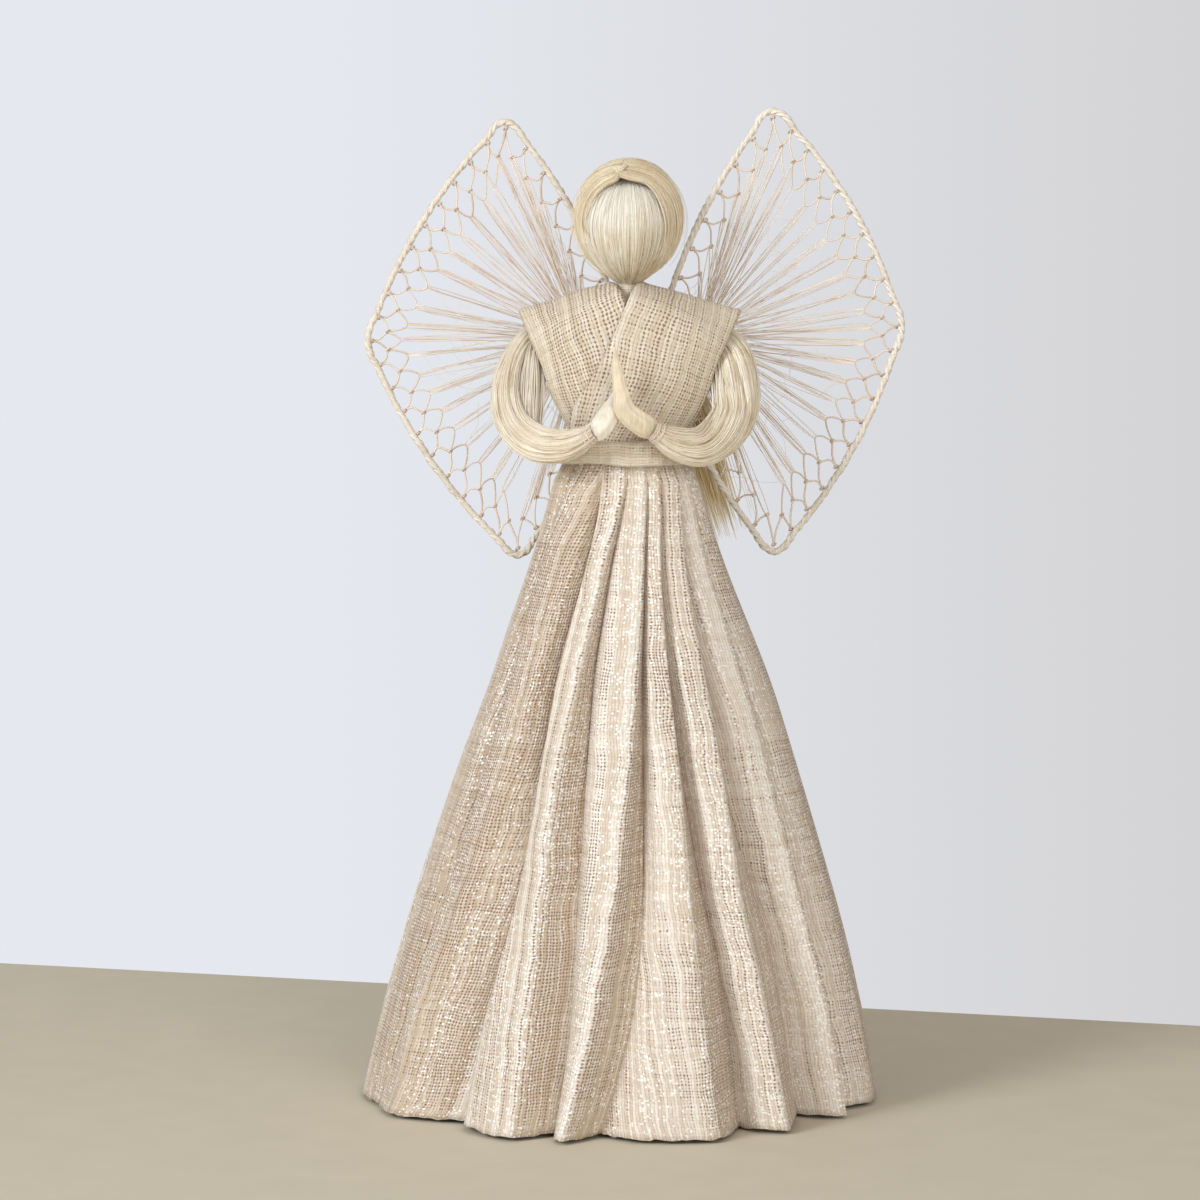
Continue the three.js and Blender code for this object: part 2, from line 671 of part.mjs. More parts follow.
const hairCentreZ = headZ + hairLift;
const faceCentreZ = headZ - faceDrop;
const hairFoot = headZ - hairFootDrop;
const hairCentre = [headX, headY, hairCentreZ];
const hairSizes = [hairHalfWidth, hairHalfDepth, hairHalfHeight];
const hairFacets = [24, 14];
const withGap = hairSizes.map((half) => half + fitGap);
const veilSpace = (veilOutside + fitGap) * facetAllowance;
const neckSpace = neckHalfWidth + 2 * threadRadius + 3 * fitGap;
const far = 3 * hairHalfWidth;
const faceOpening = new THREE.CylinderGeometry(1, 1, 1, 28)
  .scale(faceHalfWidth, far, faceHalfHeight)
  .translate(headX, hairFront - far / 2, faceCentreZ);
const neckOpening = new THREE.CylinderGeometry(neckSpace, neckSpace, 1, headSides)
  .rotateX(Math.PI / 2)
  .scale(1, 1, 2 * (headZ - neckTop))
  .translate(headX, headY, neckTop);
const hair = solid(ellipsoid(hairCentre, hairSizes, ...hairFacets))
  .subtract(solid(ellipsoid([headX, headY, headZ], [veilSpace, veilSpace, veilSpace], headSides, 14)))
  .subtract(solid(neckOpening))
  .subtract(solid(faceOpening))
  .subtract(solid(block([headX - chinHalfWidth, -far, 0], [headX + chinHalfWidth, hairFront, faceCentreZ])))
  .subtract(solid(block([headX - far, -far, 0], [headX + far, far, hairFoot])));
place('hair_left', shape(hair.subtract(solid(
  block([partingX - fitGap / 2, -far, 0], [headX + far, far, headZ + far])))), 'fibre');
place('hair_right', shape(hair.subtract(solid(
  block([headX - far, -far, 0], [partingX + fitGap / 2, far, headZ + far])))), 'fibre');

const hairSpace = solid(ellipsoid(hairCentre, withGap, ...hairFacets));
const knotPlane = Math.sqrt(1 - ((partingX - headX) / hairHalfWidth) ** 2);
const knotY = headY - hairHalfDepth * knotPlane * Math.sin(radians(knotTilt));
const knotZ = hairCentreZ + hairHalfHeight * knotPlane * Math.cos(radians(knotTilt));
const knot = solid(ellipsoid([partingX, knotY, knotZ], knotHalfSizes, 12, 8));
place('parting_knot', shape(knot.subtract(hairSpace)), 'fibre');

const tail = new THREE.CatmullRomCurve3(tailRoute.map(vector));
const tailWidth = smoothly(tailHalfWidths);
const tailBody = solid(skin(ringsAlong(tail, 14, 12, tailWidth, backward, tailFlatness)));
place('hair_tail', shape(tailBody.subtract(hairSpace)), 'tail');
const napeLine = new THREE.LineCurve3(...[0.1, 0.34].map((t) => tail.getPoint(t)));
wind('nape_tie', napeLine, 0.5, napeTurns, () => tailWidth(0.25) + napeSlack, tailFlatness);

// Wings

const across = (a, b) => new THREE.Vector2(b.y - a.y, a.x - b.x).normalize();

// The kite's outline, drawn in by a distance: its sides as curves between rounded corners.
// Each side runs from the middle of one corner's round to the middle of the next.
function outline(wing, inset) {
  const corners = [wing.root, wing.top, wing.outer, wing.bottom].map(([x, rise]) => (
    new THREE.Vector2(x, stemHeight + rise)));
  const turning = Math.sign(across(corners[0], corners[1]).dot(corners[2].clone().sub(corners[0]))) || 1;
  const inner = corners.map((corner, i) => {
    const before = corners[(i + 3) % 4];
    const after = corners[(i + 1) % 4];
    const [a, b] = [across(before, corner), across(corner, after)];
    const middle = a.clone().add(b).normalize();
    return corner.clone().addScaledVector(middle, turning * inset / middle.dot(a));
  });
  const cuts = [2, ...wing.rounding].map((cut) => Math.max(cut - inset, 1.5));
  return inner.map((corner, i) => {
    const next = inner[(i + 1) % 4];
    const run = next.clone().sub(corner);
    const length = run.length();
    run.normalize();
    const start = corner.clone().addScaledVector(run, cuts[i]);
    const end = next.clone().addScaledVector(run, -cuts[(i + 1) % 4]);
    const bowed = start.clone().add(end).multiplyScalar(0.5)
      .addScaledVector(across(corner, next), -turning * 2 * wing.bow * (length / (length + 4 * inset)));
    return { corner, start, end, bowed, next };
  });
}

// Points of a side at shares of its length, corner rounds included by halves
function sideCurve(sides, i) {
  const before = sides[(i + 3) % 4];
  const here = sides[i];
  const after = sides[(i + 1) % 4];
  const firstRound = new THREE.QuadraticBezierCurve(before.end, here.corner, here.start);
  const lastRound = new THREE.QuadraticBezierCurve(here.end, after.corner, after.start);
  const middle = new THREE.QuadraticBezierCurve(here.start, here.bowed, here.end);
  return [
    ...firstRound.getPoints(12).slice(6),
    ...middle.getPoints(24).slice(1, -1),
    ...lastRound.getPoints(12).slice(0, 7),
  ];
}

// A point on a drawn-in outline, from a side of the frame and a share of that side.
// The drawn-in sides are shorter, so the loops near a corner lean toward it.
function netPoint(wing, inset) {
  const sides = outline(wing, inset);
  const outerSides = outline(wing, 0);
  const runs = sides.map((_, i) => {
    const points = sideCurve(sides, i);
    const rim = sideCurve(outerSides, i);
    const reached = [0];
    for (let k = 1; k < points.length; k++) reached.push(reached[k - 1] + points[k].distanceTo(points[k - 1]));
    const side = rim.at(-1).clone().sub(rim[0]);
    const [first, last] = [points[0], points.at(-1)]
      .map((point) => point.clone().sub(rim[0]).dot(side) / side.lengthSq());
    return { points, reached, first, last };
  });
  return (side, share) => {
    const whole = Math.floor(share);
    const { points, reached, first, last } = runs[(side + whole + 4) % 4];
    const here = share - whole;
    const opposite = THREE.MathUtils.clamp((here - first) / (last - first), 0, 1);
    const wanted = THREE.MathUtils.lerp(opposite, here, loopLean) * reached.at(-1);
    let k = 1;
    while (k < points.length - 1 && reached[k] < wanted) k++;
    const between = (wanted - reached[k - 1]) / (reached[k] - reached[k - 1]);
    return points[k - 1].clone().lerp(points[k], between);
  };
}

// The wire's path: out of the stem, round the kite and back into the stem, above itself
function framePath(wing, sideways) {
  const sides = outline(wing, 0);
  const rootX = wing.root[0];
  const points = [];
  const stem = (height, reversed) => {
    const run = [
      new THREE.Vector2(stemMeetX + sideways * fitGap, height),
      new THREE.Vector2(stemMeetX + sideways * (stemLength - 0.4), height),
      new THREE.Vector2(rootX + sideways * 0.9, height + (height > stemHeight ? 1 : -1)),
    ];
    return reversed ? run.reverse() : run;
  };
  points.push(...stem(stemHeight + stemSpacing / 2 + wingWireRadius, false));
  sides.forEach((side, i) => {
    const last = i === sides.length - 1;
    const straight = new THREE.QuadraticBezierCurve(side.start, side.bowed, side.end).getPoints(5);
    points.push(...(i === 0 ? straight.slice(1) : last ? straight.slice(0, -1) : straight));
    if (!last) {
      const round = new THREE.QuadraticBezierCurve(side.end, side.next, sides[i + 1].start);
      points.push(...round.getPoints(4).slice(1, -1));
    }
  });
  points.push(...stem(stemHeight - stemSpacing / 2 - wingWireRadius, true));
  return points;
}

// Rings of a round section on a flat run of points in the wing's plane
function flatRings(points, radius) {
  return points.map((point, i) => {
    const before = points[Math.max(i - 1, 0)];
    const after = points[Math.min(i + 1, points.length - 1)];
    const [a, b] = [point.clone().sub(before).normalize(), after.clone().sub(point).normalize()];
    const along = a.add(b).normalize();
    const half = points[i === 0 ? 1 : i].clone().sub(points[i === 0 ? 0 : i - 1]).normalize();
    const stretch = 1 / Math.max(along.dot(half), 0.8);
    return Array.from({ length: wingSides }, (_, k) => {
      const turn = 2 * Math.PI * (k + 0.5) / wingSides;
      const out = radius * Math.cos(turn) * stretch;
      return new THREE.Vector3(
        point.x - along.y * out, wingY + radius * Math.sin(turn), point.y + along.x * out);
    });
  });
}

// A flat plate in the wing's plane, within an outline
function plate(points, thickness) {
  return new THREE.ExtrudeGeometry(new THREE.Shape(points), { depth: thickness, bevelEnabled: false, steps: 1 })
    .rotateX(Math.PI / 2)
    .translate(0, wingY + thickness / 2, 0);
}

function wing(side, form) {
  const sideways = side === 'left' ? -1 : 1;
  const route = framePath(form, sideways);
  const boreRadius = wingWireRadius + wingBoreGap;
  const wrapRadius = boreRadius + wrapThickness;
  const [wireRings, boreRings, wrapRings] = [wingWireRadius, boreRadius, wrapRadius]
    .map((radius) => flatRings(route, radius));
  const wrapped = (rings) => rings.slice(stemPoints, -stemPoints);
  place(`wing_${side}_wire`, skin(wireRings), 'wire');
  place(`wing_${side}_wrap`, skin([...wrapped(wrapRings), ...wrapped(boreRings).reverse()], true), 'wrap');

  // Lace: a row of loops on the whole frame, and a second row hung between them on the outer sides.
  // The thread's middle line is drawn first, and every cell then gives way to half the thread.
  const rim = wrapRadius + netGap + laceThread / 2;
  const at = (depth) => netPoint(form, rim + depth);
  const depths = [0, flankDepthShare * firstRowDepth, firstRowDepth, firstRowDepth + secondRowDepth];
  const [top, flank, foot, lip] = depths.map(at);
  const knots = cellsOnSides.flatMap((cells, i) => (
    Array.from({ length: cells }, (_, k) => ({
      i, share: k / cells, cell: 1 / cells, double: i === 2 || (i === 1 && k > 0),
      strand: i === 2 || (i === 1 && k > 0) || k % 2 === 1,
    }))
  ));
  const loop = ({ i, share, cell }) => ({
    knot: top(i, share), next: top(i, share + cell), foot: foot(i, share + 0.5 * cell),
    down: flank(i, share + flankInset * cell), up: flank(i, share + (1 - flankInset) * cell),
    before: flank(i, share - flankInset * cell), footBefore: foot(i, share - 0.5 * cell),
    low: [-flankInset, flankInset].map((step) => lip(i, share + step * cell)),
  });
  const rounds = outline(form, wrapRadius + netGap);
  const boundary = rounds.flatMap((here, i) => [
    ...new THREE.QuadraticBezierCurve(rounds[(i + 3) % 4].end, here.corner, here.start).getPoints(5).slice(0, -1),
    ...new THREE.QuadraticBezierCurve(here.start, here.bowed, here.end).getPoints(8).slice(0, -1),
  ]);
  const cells = [
    ...knots.map(loop).map((k) => [k.knot, k.next, k.up, k.foot, k.down]),
    ...knots.filter((knot) => knot.double).map(loop)
      .map((k) => [k.knot, k.down, k.foot, ...k.low.toReversed(), k.footBefore, k.before]),
  ];
  const hem = knots.flatMap((knot, n) => {
    const k = loop(knot);
    const nextDouble = knots[(n + 1) % knots.length].double;
    return [...(knot.double ? k.low : [k.knot, k.down]), k.foot, ...(nextDouble ? [] : [k.up])];
  });
  const openings = [...cells, hem].map((cell) => solid(plate(drawnIn(cell, laceThread / 2), 2 * laceThickness)));
  const lace = openings.reduce((left, cut) => left.subtract(cut), solid(plate(boundary, laceThickness)));
  place(`wing_${side}_lace`, shape(lace), 'lace');

  // Fan strands run from the loops to the hub, and fuse where they meet
  const hub = new THREE.Vector2(form.root[0] + sideways * hubOffset, stemHeight);
  const tips = knots
    .filter((knot) => knot.strand)
    .map(({ i, share, cell, double }) => (double ? lip(i, share) : foot(i, share + 0.5 * cell)).sub(hub))
    .map((tip) => ({ angle: Math.atan2(tip.y, tip.x), reach: tip.length() - laceThread - netGap }))
    .filter((tip) => tip.reach > shortestStrand)
    .sort((a, b) => a.angle - b.angle);
  const star = tips.flatMap((tip, k) => {
    const next = tips[(k + 1) % tips.length];
    const turn = (next.angle - tip.angle + 2 * Math.PI) % (2 * Math.PI);
    const notch = Math.min(strandHalfWidth / Math.sin(Math.min(turn / 2, Math.PI / 2)),
      0.8 * Math.min(tip.reach, next.reach));
    const point = (angle, along, aside) => new THREE.Vector2(
      hub.x + along * Math.cos(angle) - aside * Math.sin(angle),
      hub.y + along * Math.sin(angle) + aside * Math.cos(angle));
    return [
      point(tip.angle, tip.reach, -strandHalfWidth), point(tip.angle, tip.reach, strandHalfWidth),
      point(tip.angle + turn / 2, notch, 0),
    ];
  });
  place(`wing_${side}_fan`, plate(star, fanThickness), 'fan');
}

wing('left', leftWing);
wing('right', rightWing);

const stemBundle = stemSpacing / 2 + 2 * wingWireRadius;
const stemLine = new THREE.LineCurve3(
  new THREE.Vector3(stemMeetX - stemLength, wingY, stemHeight),
  new THREE.Vector3(stemMeetX + stemLength, wingY, stemHeight));
wind('wing_root_tie', stemLine, 0.5, rootTurns, () => stemBundle, stemFlatness, rootThreadRadius);

export default angel;
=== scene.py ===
# A small angel doll of raffia and open-weave abaca cloth, standing on the hem of its pleated skirt.
# Its own sizes are in millimetres until a mesh is made; the room round it is given in metres. It faces -Y.
import math
from functools import partial
import bmesh
import bpy
import numpy as np
from numpy import cos, pi, sin
from mathutils import Matrix, Vector


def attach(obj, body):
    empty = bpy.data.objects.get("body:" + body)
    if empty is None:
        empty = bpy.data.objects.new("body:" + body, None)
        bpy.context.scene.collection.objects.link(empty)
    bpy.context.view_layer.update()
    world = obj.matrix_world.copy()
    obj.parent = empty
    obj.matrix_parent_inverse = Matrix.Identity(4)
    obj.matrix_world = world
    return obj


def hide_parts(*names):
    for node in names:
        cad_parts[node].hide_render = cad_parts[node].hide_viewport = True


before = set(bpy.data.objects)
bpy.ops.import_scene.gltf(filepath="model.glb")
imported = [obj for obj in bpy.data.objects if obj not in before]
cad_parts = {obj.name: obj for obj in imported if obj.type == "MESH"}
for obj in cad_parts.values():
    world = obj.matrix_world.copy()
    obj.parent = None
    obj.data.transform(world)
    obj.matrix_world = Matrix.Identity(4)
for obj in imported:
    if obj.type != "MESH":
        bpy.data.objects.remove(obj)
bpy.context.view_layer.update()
dice = np.random.default_rng(7)
between, about = dice.uniform, dice.normal


# --- Camera: a long lens a little above the doll's head, looking slightly down ---
def placed(name, data):
    """A new object of the scene, at the origin"""
    made = bpy.data.objects.new(name, data)
    bpy.context.scene.collection.objects.link(made)
    return made


def aim(holder, place, target):
    holder.location = place
    holder.rotation_euler = (Vector(target) - Vector(place)).to_track_quat("-Z", "Y").to_euler()


camera_data = bpy.data.cameras.new("camera")
camera_data.sensor_width = 36
camera_data.lens = 135
camera_data.clip_start = 0.05
camera = placed("camera", camera_data)
aim(camera, (-0.010, -1.290, 0.270), (-0.010, 0, 0.1435))
bpy.context.scene.camera = camera
bpy.context.scene.view_settings.view_transform = "Standard"


# --- Stage: a sheet of pale tan paper on a table, before a bluish white wall ---
# The wall is the world's own colour as the camera sees it. Soft daylight comes from the left and the front.
def put(socket, value):
    """Gives a socket a plain value, or joins it to an output or to a node's first one"""
    if isinstance(value, bpy.types.Node):
        value = value.outputs[0]
    if isinstance(value, bpy.types.NodeSocket):
        socket.id_data.links.new(value, socket)
    else:
        socket.default_value = value


def node(tree, kind, inputs=None, **settings):
    made = tree.nodes.new("ShaderNode" + kind)
    for key, value in settings.items():
        setattr(made, key, value)
    for key, value in (inputs or {}).items():
        put(made.inputs[key], value)
    return made


def fill(shader, **sockets):
    """Fills a shader's sockets: Base_Color is its socket Base Color"""
    for key, value in sockets.items():
        put(shader.inputs[key.replace("_", " ")], value)


def material_of(name, roughness, **sockets):
    material = bpy.data.materials.new(name)
    material.use_nodes = True
    shader = material.node_tree.nodes["Principled BSDF"]
    fill(shader, Roughness=roughness, **sockets)
    return material, material.node_tree, shader


def sums(tree, operation, first, *others):
    """One kind of sum on a value, with each of the others in turn"""
    if not others:
        return node(tree, "Math", {0: first}, operation=operation)
    for other in others:
        first = node(tree, "Math", {0: first, 1: other}, operation=operation)
    return first


def clouds(tree, scale, detail=2.0, stretch=None):
    """Noise in the piece's own space, which a stretch makes long and narrow"""
    spot = node(tree, "TexCoord").outputs["Object"]
    if stretch:
        spot = node(tree, "Mapping", {"Vector": spot, "Scale": stretch})
    return node(tree, "TexNoise", {"Vector": spot, "Scale": scale, "Detail": detail})


def ramp(tree, value, low, high, to_low=0.0, to_high=1.0):
    ends = {"From Min": low, "From Max": high, "To Min": to_low, "To Max": to_high}
    return node(tree, "MapRange", {"Value": value, **ends})


def coloured(tree, value, *stops):
    """A colour for each value, blended between stops of a value and its colour"""
    made = node(tree, "ValToRGB", {"Fac": value})
    steps = made.color_ramp.elements
    for step, (place, colour) in zip(steps, (stops[0], stops[-1])):
        step.position, step.color = place, (*colour, 1)
    for place, colour in stops[1:-1]:
        steps.new(place).color = (*colour, 1)
    return made


floor_mesh = bmesh.new()
bmesh.ops.create_grid(floor_mesh, x_segments=2, y_segments=2, size=2.0)
table_turn = Matrix.Rotation(math.radians(-15.8), 3, "Z")
bmesh.ops.rotate(floor_mesh, cent=(0, 0, 0), matrix=table_turn, verts=floor_mesh.verts)
bmesh.ops.translate(floor_mesh, vec=(-0.505, -1.785, -0.0004), verts=floor_mesh.verts)
floor_data = bpy.data.meshes.new("paper_floor")
floor_mesh.to_mesh(floor_data)
floor_mesh.free()
floor = placed("paper_floor", floor_data)
paper, tree, shader = material_of("tan paper", 0.75)
grain = clouds(tree, 60.0, 6.0)
fill(shader, Base_Color=coloured(tree, grain, (0, (0.65, 0.60, 0.49)), (1, (0.72, 0.67, 0.55))))
floor_data.materials.append(paper)

world = bpy.data.worlds.new("room")
bpy.context.scene.world = world
world.use_nodes = True
tree = world.node_tree
room = tree.nodes["Background"]
fill(room, Color=(1.0, 0.92, 0.80, 1), Strength=0.38)
# The wall darkens toward the right: painted shade, as the window light falls off across it
toward = node(tree, "SeparateXYZ", {0: node(tree, "TexCoord").outputs["Generated"]})
paint = coloured(tree, ramp(tree, toward, -0.06, 0.13), (0, (0.785, 0.81, 0.86)), (1, (0.66, 0.655, 0.67)))
wall = node(tree, "Background", {"Color": paint, "Strength": 1.0})
rays = node(tree, "LightPath").outputs
seen = sums(tree, "MAXIMUM", *(rays[f"Is {kind} Ray"] for kind in ("Camera", "Glossy", "Transmission")))
fill(tree.nodes["World Output"], Surface=node(tree, "MixShader", {0: seen, 1: room, 2: wall}))


def soft_lamp(name, place, size, power, colour):
    lamp = bpy.data.lights.new(name, "AREA")
    lamp.shape = "DISK"
    lamp.size = size
    lamp.energy = power
    lamp.color = colour
    aim(placed(name, lamp), place, (0, 0, 0.13))


soft_lamp("window", (-1.25, -1.15, 0.9), 0.7, 18.9, (0.98, 0.99, 1.0))
soft_lamp("room_fill", (0.6, -1.5, 0.6), 1.0, 8.4, (1.0, 0.97, 0.93))


# --- Skirt: one stiff pleated abaca cloth, gathered at the waist and open below ---
# Flat bright pleats stand out between narrow valleys, and each has its own run of threads. The raw hem is
# beaten denser, a little ragged, and lifts off the table here and there.
SKIRT_TOP, BAND_MIDDLE, BAND_FOOT, GATHERS_FOOT = 188.5, 186.0, 183.7, 178.0
CORE_X = -2.5
BACK_PLEATS = 7
CLOTH_STEP = 60.0
LEVELS = [0, 0.12, 0.28, 0.46, 0.64, 0.82, 1]
# Each fold line down the front: its angle from straight ahead at seven levels, and its depth above and below
front_lines = [
    ((-92, -90, -88, -86, -85, -85, -85), 0, 0),
    ((-74, -79, -75, -74, -74, -75, -77), 0.1, 0.15),
    ((-59.5, -73, -67, -65.5, -68, -70.8, -74), 0.25, 0.2),
    ((-50, -65, -60, -60, -63, -67, -71), 1.7, 0.35),
    ((-52.5, -67, -61, -58.5, -60.5, -64.6, -68), 0, 0.147),
    ((-26, -34, -42, -44.5, -51, -59, -61), 0, 0),
    ((-23, -30.5, -38, -36, -36.5, -42.3, -44), 1.3, 1),
    ((-2.5, -15.5, -22, -26, -25, -24.3, -24.6), 0, 0),
    ((0.5, -12.5, -18.8, -17.8, -15.3, -14, -15.8), 1, 1),
    ((15, 9, 3.4, -0.7, -4, -8, -13), 0, 0),
    ((18, 12, 7, 6.3, 5.5, 3, -4.9), 1, 1),
    ((27, 19, 16, 17, 17, 18.5, 21.4), 0, 0),
    ((30, 22.5, 20.5, 23, 26, 31, 33.5), 1.1, 1.1),
    ((46, 36, 33, 33, 32.5, 35.8, 38.8), 0, 0),
    ((49.5, 39.5, 38, 42, 49, 53.5, 55.5), 1.15, 1.15),
    ((62, 56, 55.5, 56.5, 56, 58.5, 60), 0, 0),
    ((66, 60.5, 61, 63, 65, 66.5, 67.5), 0.8, 0.8),
    ((76, 73, 72.5, 73, 74, 75, 76), 0, 0),
    ((90, 90, 90, 90, 90, 90, 90), 0, 0),
]


def with_breaks(lines):
    """Each pleat rises steeply from its valley, then lies nearly flat up to its ridge"""
    done = []
    for line, following in zip(lines, [*lines[1:], None]):
        done.append(line)
        if following and line[1] > following[1]:
            turns = [a + 0.3 * (b - a) for a, b in zip(line[0], following[0])]
            done.append((turns, 0.42 * line[1], 0.42 * line[2]))
    return done


span = (360 - 92 - 90) / BACK_PLEATS
back_lines = [([90 + k * span + turn] * len(LEVELS), fold, fold) for k in range(BACK_PLEATS)
              for turn, fold in [(span / 8, 1), (span * 0.365, 1), (span * 0.49, 0), (span, 0)]]
fold_lines = [*with_breaks(front_lines), *back_lines]
line_turns = np.array([line[0] for line in fold_lines], float)
line_turns[-1] = line_turns[0] + 360
line_depths = np.array([line[1:] for line in fold_lines], float)
hem_depths = line_depths[:, 1]


def points_at(x, y, z):
    return np.stack(np.broadcast_arrays(x, y, z), -1)


def skirt_point(share, angle, fold):
    """A point on the skirt, share 0 at the gathers' foot to 1 at the hem, angle in degrees from straight ahead"""
    turn = np.radians(angle)
    half = 23.4 + 50.8 * share + 2.7 * sin(pi * share ** 2) - fold * (1.6 + 9.4 * share)
    half -= 3.2 * cos(pi / 2 * np.clip((share - 0.08) / 0.3, 0, 1)) ** 2
    half += (0.5 - 1.6 * share) * sin(pi * np.clip(share / 0.9, 0, 1)) ** 2 * np.maximum(sin(turn), 0)
    half -= 1.4 * np.exp(-((share - 0.33) / 0.1) ** 2) * np.maximum(-sin(turn), 0)
    depth = 0.8 + 0.2 * np.sqrt(share)
    middle = CORE_X - 2.0 * share + 1.4 * sin(pi * share)
    return points_at(middle + half * sin(turn), -half * depth * cos(turn), GATHERS_FOOT * (1 - share))


def gather_point(z, angle, fold):
    turn = np.radians(angle)
    return points_at(CORE_X + (17.4 - 0.5 * fold) * sin(turn), -(14.2 - 0.5 * fold) * cos(turn), z)


def wave(*phases):
    """A slow wave between -1 and 1, the mean of a few sines, for hand-made unevenness"""
    return sum(sin(phase) for phase in phases) / len(phases)


def even(count):
    """Shares from 0 to 1 in even steps"""
    return np.linspace(0, 1, count)


row_shares = np.concatenate([[-3, -2, -1, -0.5], even(61)])
clear_shares = np.clip(row_shares, 0, 1)
turns_at = np.array([np.interp(clear_shares, LEVELS, turns) for turns in line_turns])
for _ in range(8):
    turns_at[:, 5:-1] = (turns_at[:, 4:-2] + 2 * turns_at[:, 5:-1] + turns_at[:, 6:]) / 4
depths_at = line_depths[:, :1] + (line_depths[:, 1:] - line_depths[:, :1]) * clear_shares
cleft = 1 + 1.3 * np.interp(clear_shares, [0, 0.06, 0.35, 0.7], [0.2, 1, 0.8, 0.12])
depths_at = np.where(depths_at > 0.7, depths_at * cleft, depths_at)
hem_run = np.hypot(*np.diff(skirt_point(1.0, line_turns[:, -1], hem_depths)[:, :2], axis=0).T)
columns_in = np.maximum(4, np.round(hem_run / 1.25)).astype(int)
first_column = np.concatenate([[0], np.cumsum(columns_in)])
line_of_column = np.append(np.repeat(np.arange(len(columns_in)), columns_in), len(columns_in) - 1)
column_inside = np.append(np.concatenate([np.arange(n) / n for n in columns_in]), 1.0)
skirt_rows = []
for number, share in enumerate(row_shares):
    angle, fold = (lines[line_of_column] + (lines[line_of_column + 1] - lines[line_of_column]) * column_inside
                   for lines in (turns_at[:, number], depths_at[:, number]))
    if share <= -1:
        row = gather_point({-3: SKIRT_TOP, -2: BAND_MIDDLE, -1: BAND_FOOT}[int(share)], angle, fold)
    elif share < 0:
        row = 0.45 * gather_point(BAND_FOOT, angle, fold) + 0.55 * skirt_point(0.0, angle, fold)
    else:
        row = skirt_point(share, angle, fold)
        outward = np.stack([sin(np.radians(angle)), -cos(np.radians(angle))], -1)
        uneven = 0.4 * share * wave(0.21 * angle + 5 * share, 0.47 * angle - 11 * share + 1, 0.9 * angle + 17 * share)
        row[:, :2] += outward * uneven[:, None]
        if share == 1:
            row[:, 2] = 0.7 + 0.7 * wave(0.9 * angle, 2.3 * angle + 2, 5.1 * angle, 9.7 * angle)
            row[:, 2] += 1.7 * np.exp(-((angle - 47) / 4) ** 2) + 0.9 * np.exp(-((angle + 37) / 3) ** 2)
        elif share > 0.97:
            row[:, 2] += 0.3 * wave(0.9 * angle, 2.3 * angle + 2)
    skirt_rows.append(row)
skirt_rows = np.array(skirt_rows)
below = skirt_rows[3:]
below[:, 1:-1] = (below[:, :-2] + 4 * below[:, 1:-1] + below[:, 2:]) / 6


def reshaped(mesh, change):
    sheet = bmesh.new()
    sheet.from_mesh(mesh)
    change(sheet)
    sheet.to_mesh(mesh)
    sheet.free()


def grid_object(name, points, uvs, closed=False):
    """A sheet: a grid of squares moved to rows of points. uvs gives each square's four corners their place"""
    rows, columns = points.shape[:2]
    mesh = bpy.data.meshes.new(name)
    reshaped(mesh, partial(bmesh.ops.create_grid, x_segments=columns - 1, y_segments=rows - 1, size=0.5))
    flat = np.empty(len(mesh.vertices) * 3)
    mesh.vertices.foreach_get("co", flat)
    column, row = (np.round((flat[axis::3] + 0.5) * (count - 1)).astype(int)
                   for axis, count in [(0, columns), (1, rows)])
    corner = np.empty(len(mesh.loops), int)
    mesh.loops.foreach_get("vertex_index", corner)
    square_column = column[corner].reshape(-1, 4).min(1).repeat(4)
    layer = mesh.uv_layers.new(name="cloth")
    layer.data.foreach_set("uv", uvs(row[corner], column[corner], square_column).ravel())
    mesh.vertices.foreach_set("co", (points[row, column] / 1000).ravel())
    if closed:
        reshaped(mesh, lambda sheet: bmesh.ops.remove_doubles(sheet, verts=sheet.verts, dist=1e-6))
    mesh.update()
    mesh.shade_smooth()
    return placed(name, mesh)


# The threads run along each ridge and are cut off in the valleys: the way across is measured from the ridge
last_line = len(hem_depths) - 1
neighbours = list(zip(hem_depths, hem_depths[1:], [*hem_depths[2:], np.inf]))
valleys = [k for k, (before, here, after) in enumerate(neighbours[:-1], 1) if before < here >= after]
ridges = [0] + [k for k, (before, here, after) in enumerate(neighbours, 1) if before > here <= after]
row_run = np.pad(np.cumsum(np.linalg.norm(np.diff(skirt_rows, axis=1), axis=2), axis=1), ((0, 0), (1, 0)))
pleat_of_line = np.searchsorted(valleys, np.arange(last_line + 1), side="right")
last_pleat = pleat_of_line[-1]
ridge_of_pleat = np.array([*(next(k for k in ridges if pleat_of_line[k] == pleat) for pleat in range(last_pleat)),
                           last_line])


def skirt_uv(row, column, square_column):
    """Across: from the ridge of the pleat that the square belongs to. Along: up from the hem"""
    pleat = pleat_of_line[line_of_column[square_column]]
    ridge_column = first_column[ridge_of_pleat[pleat]]
    across = row_run[row, column] - row_run[row, ridge_column]
    up = (skirt_rows[row, ridge_column][:, 2] + 1) * 1.04
    return np.stack([across + CLOTH_STEP * (pleat % last_pleat), up], -1)


def cloth_place(tree):
    """Where a point lies on its piece: the way across and along it in millimetres"""
    return node(tree, "SeparateXYZ", {0: node(tree, "UVMap", uv_map="cloth")}).outputs[:2]


def cloth_noise(tree, x, y, scale=1.0, detail=2.0):
    inputs = {"Vector": node(tree, "CombineXYZ", {0: x, 1: y}), "Scale": scale, "Detail": detail}
    return node(tree, "TexNoise", inputs, noise_dimensions="2D")


def blend_colours(tree, share, first, second):
    return node(tree, "Mix", {"Factor": share, 6: first, 7: second}, data_type="RGBA").outputs[2]


def bumps(tree, height, distance, strength):
    return node(tree, "Bump", {"Height": height, "Distance": distance, "Strength": strength})


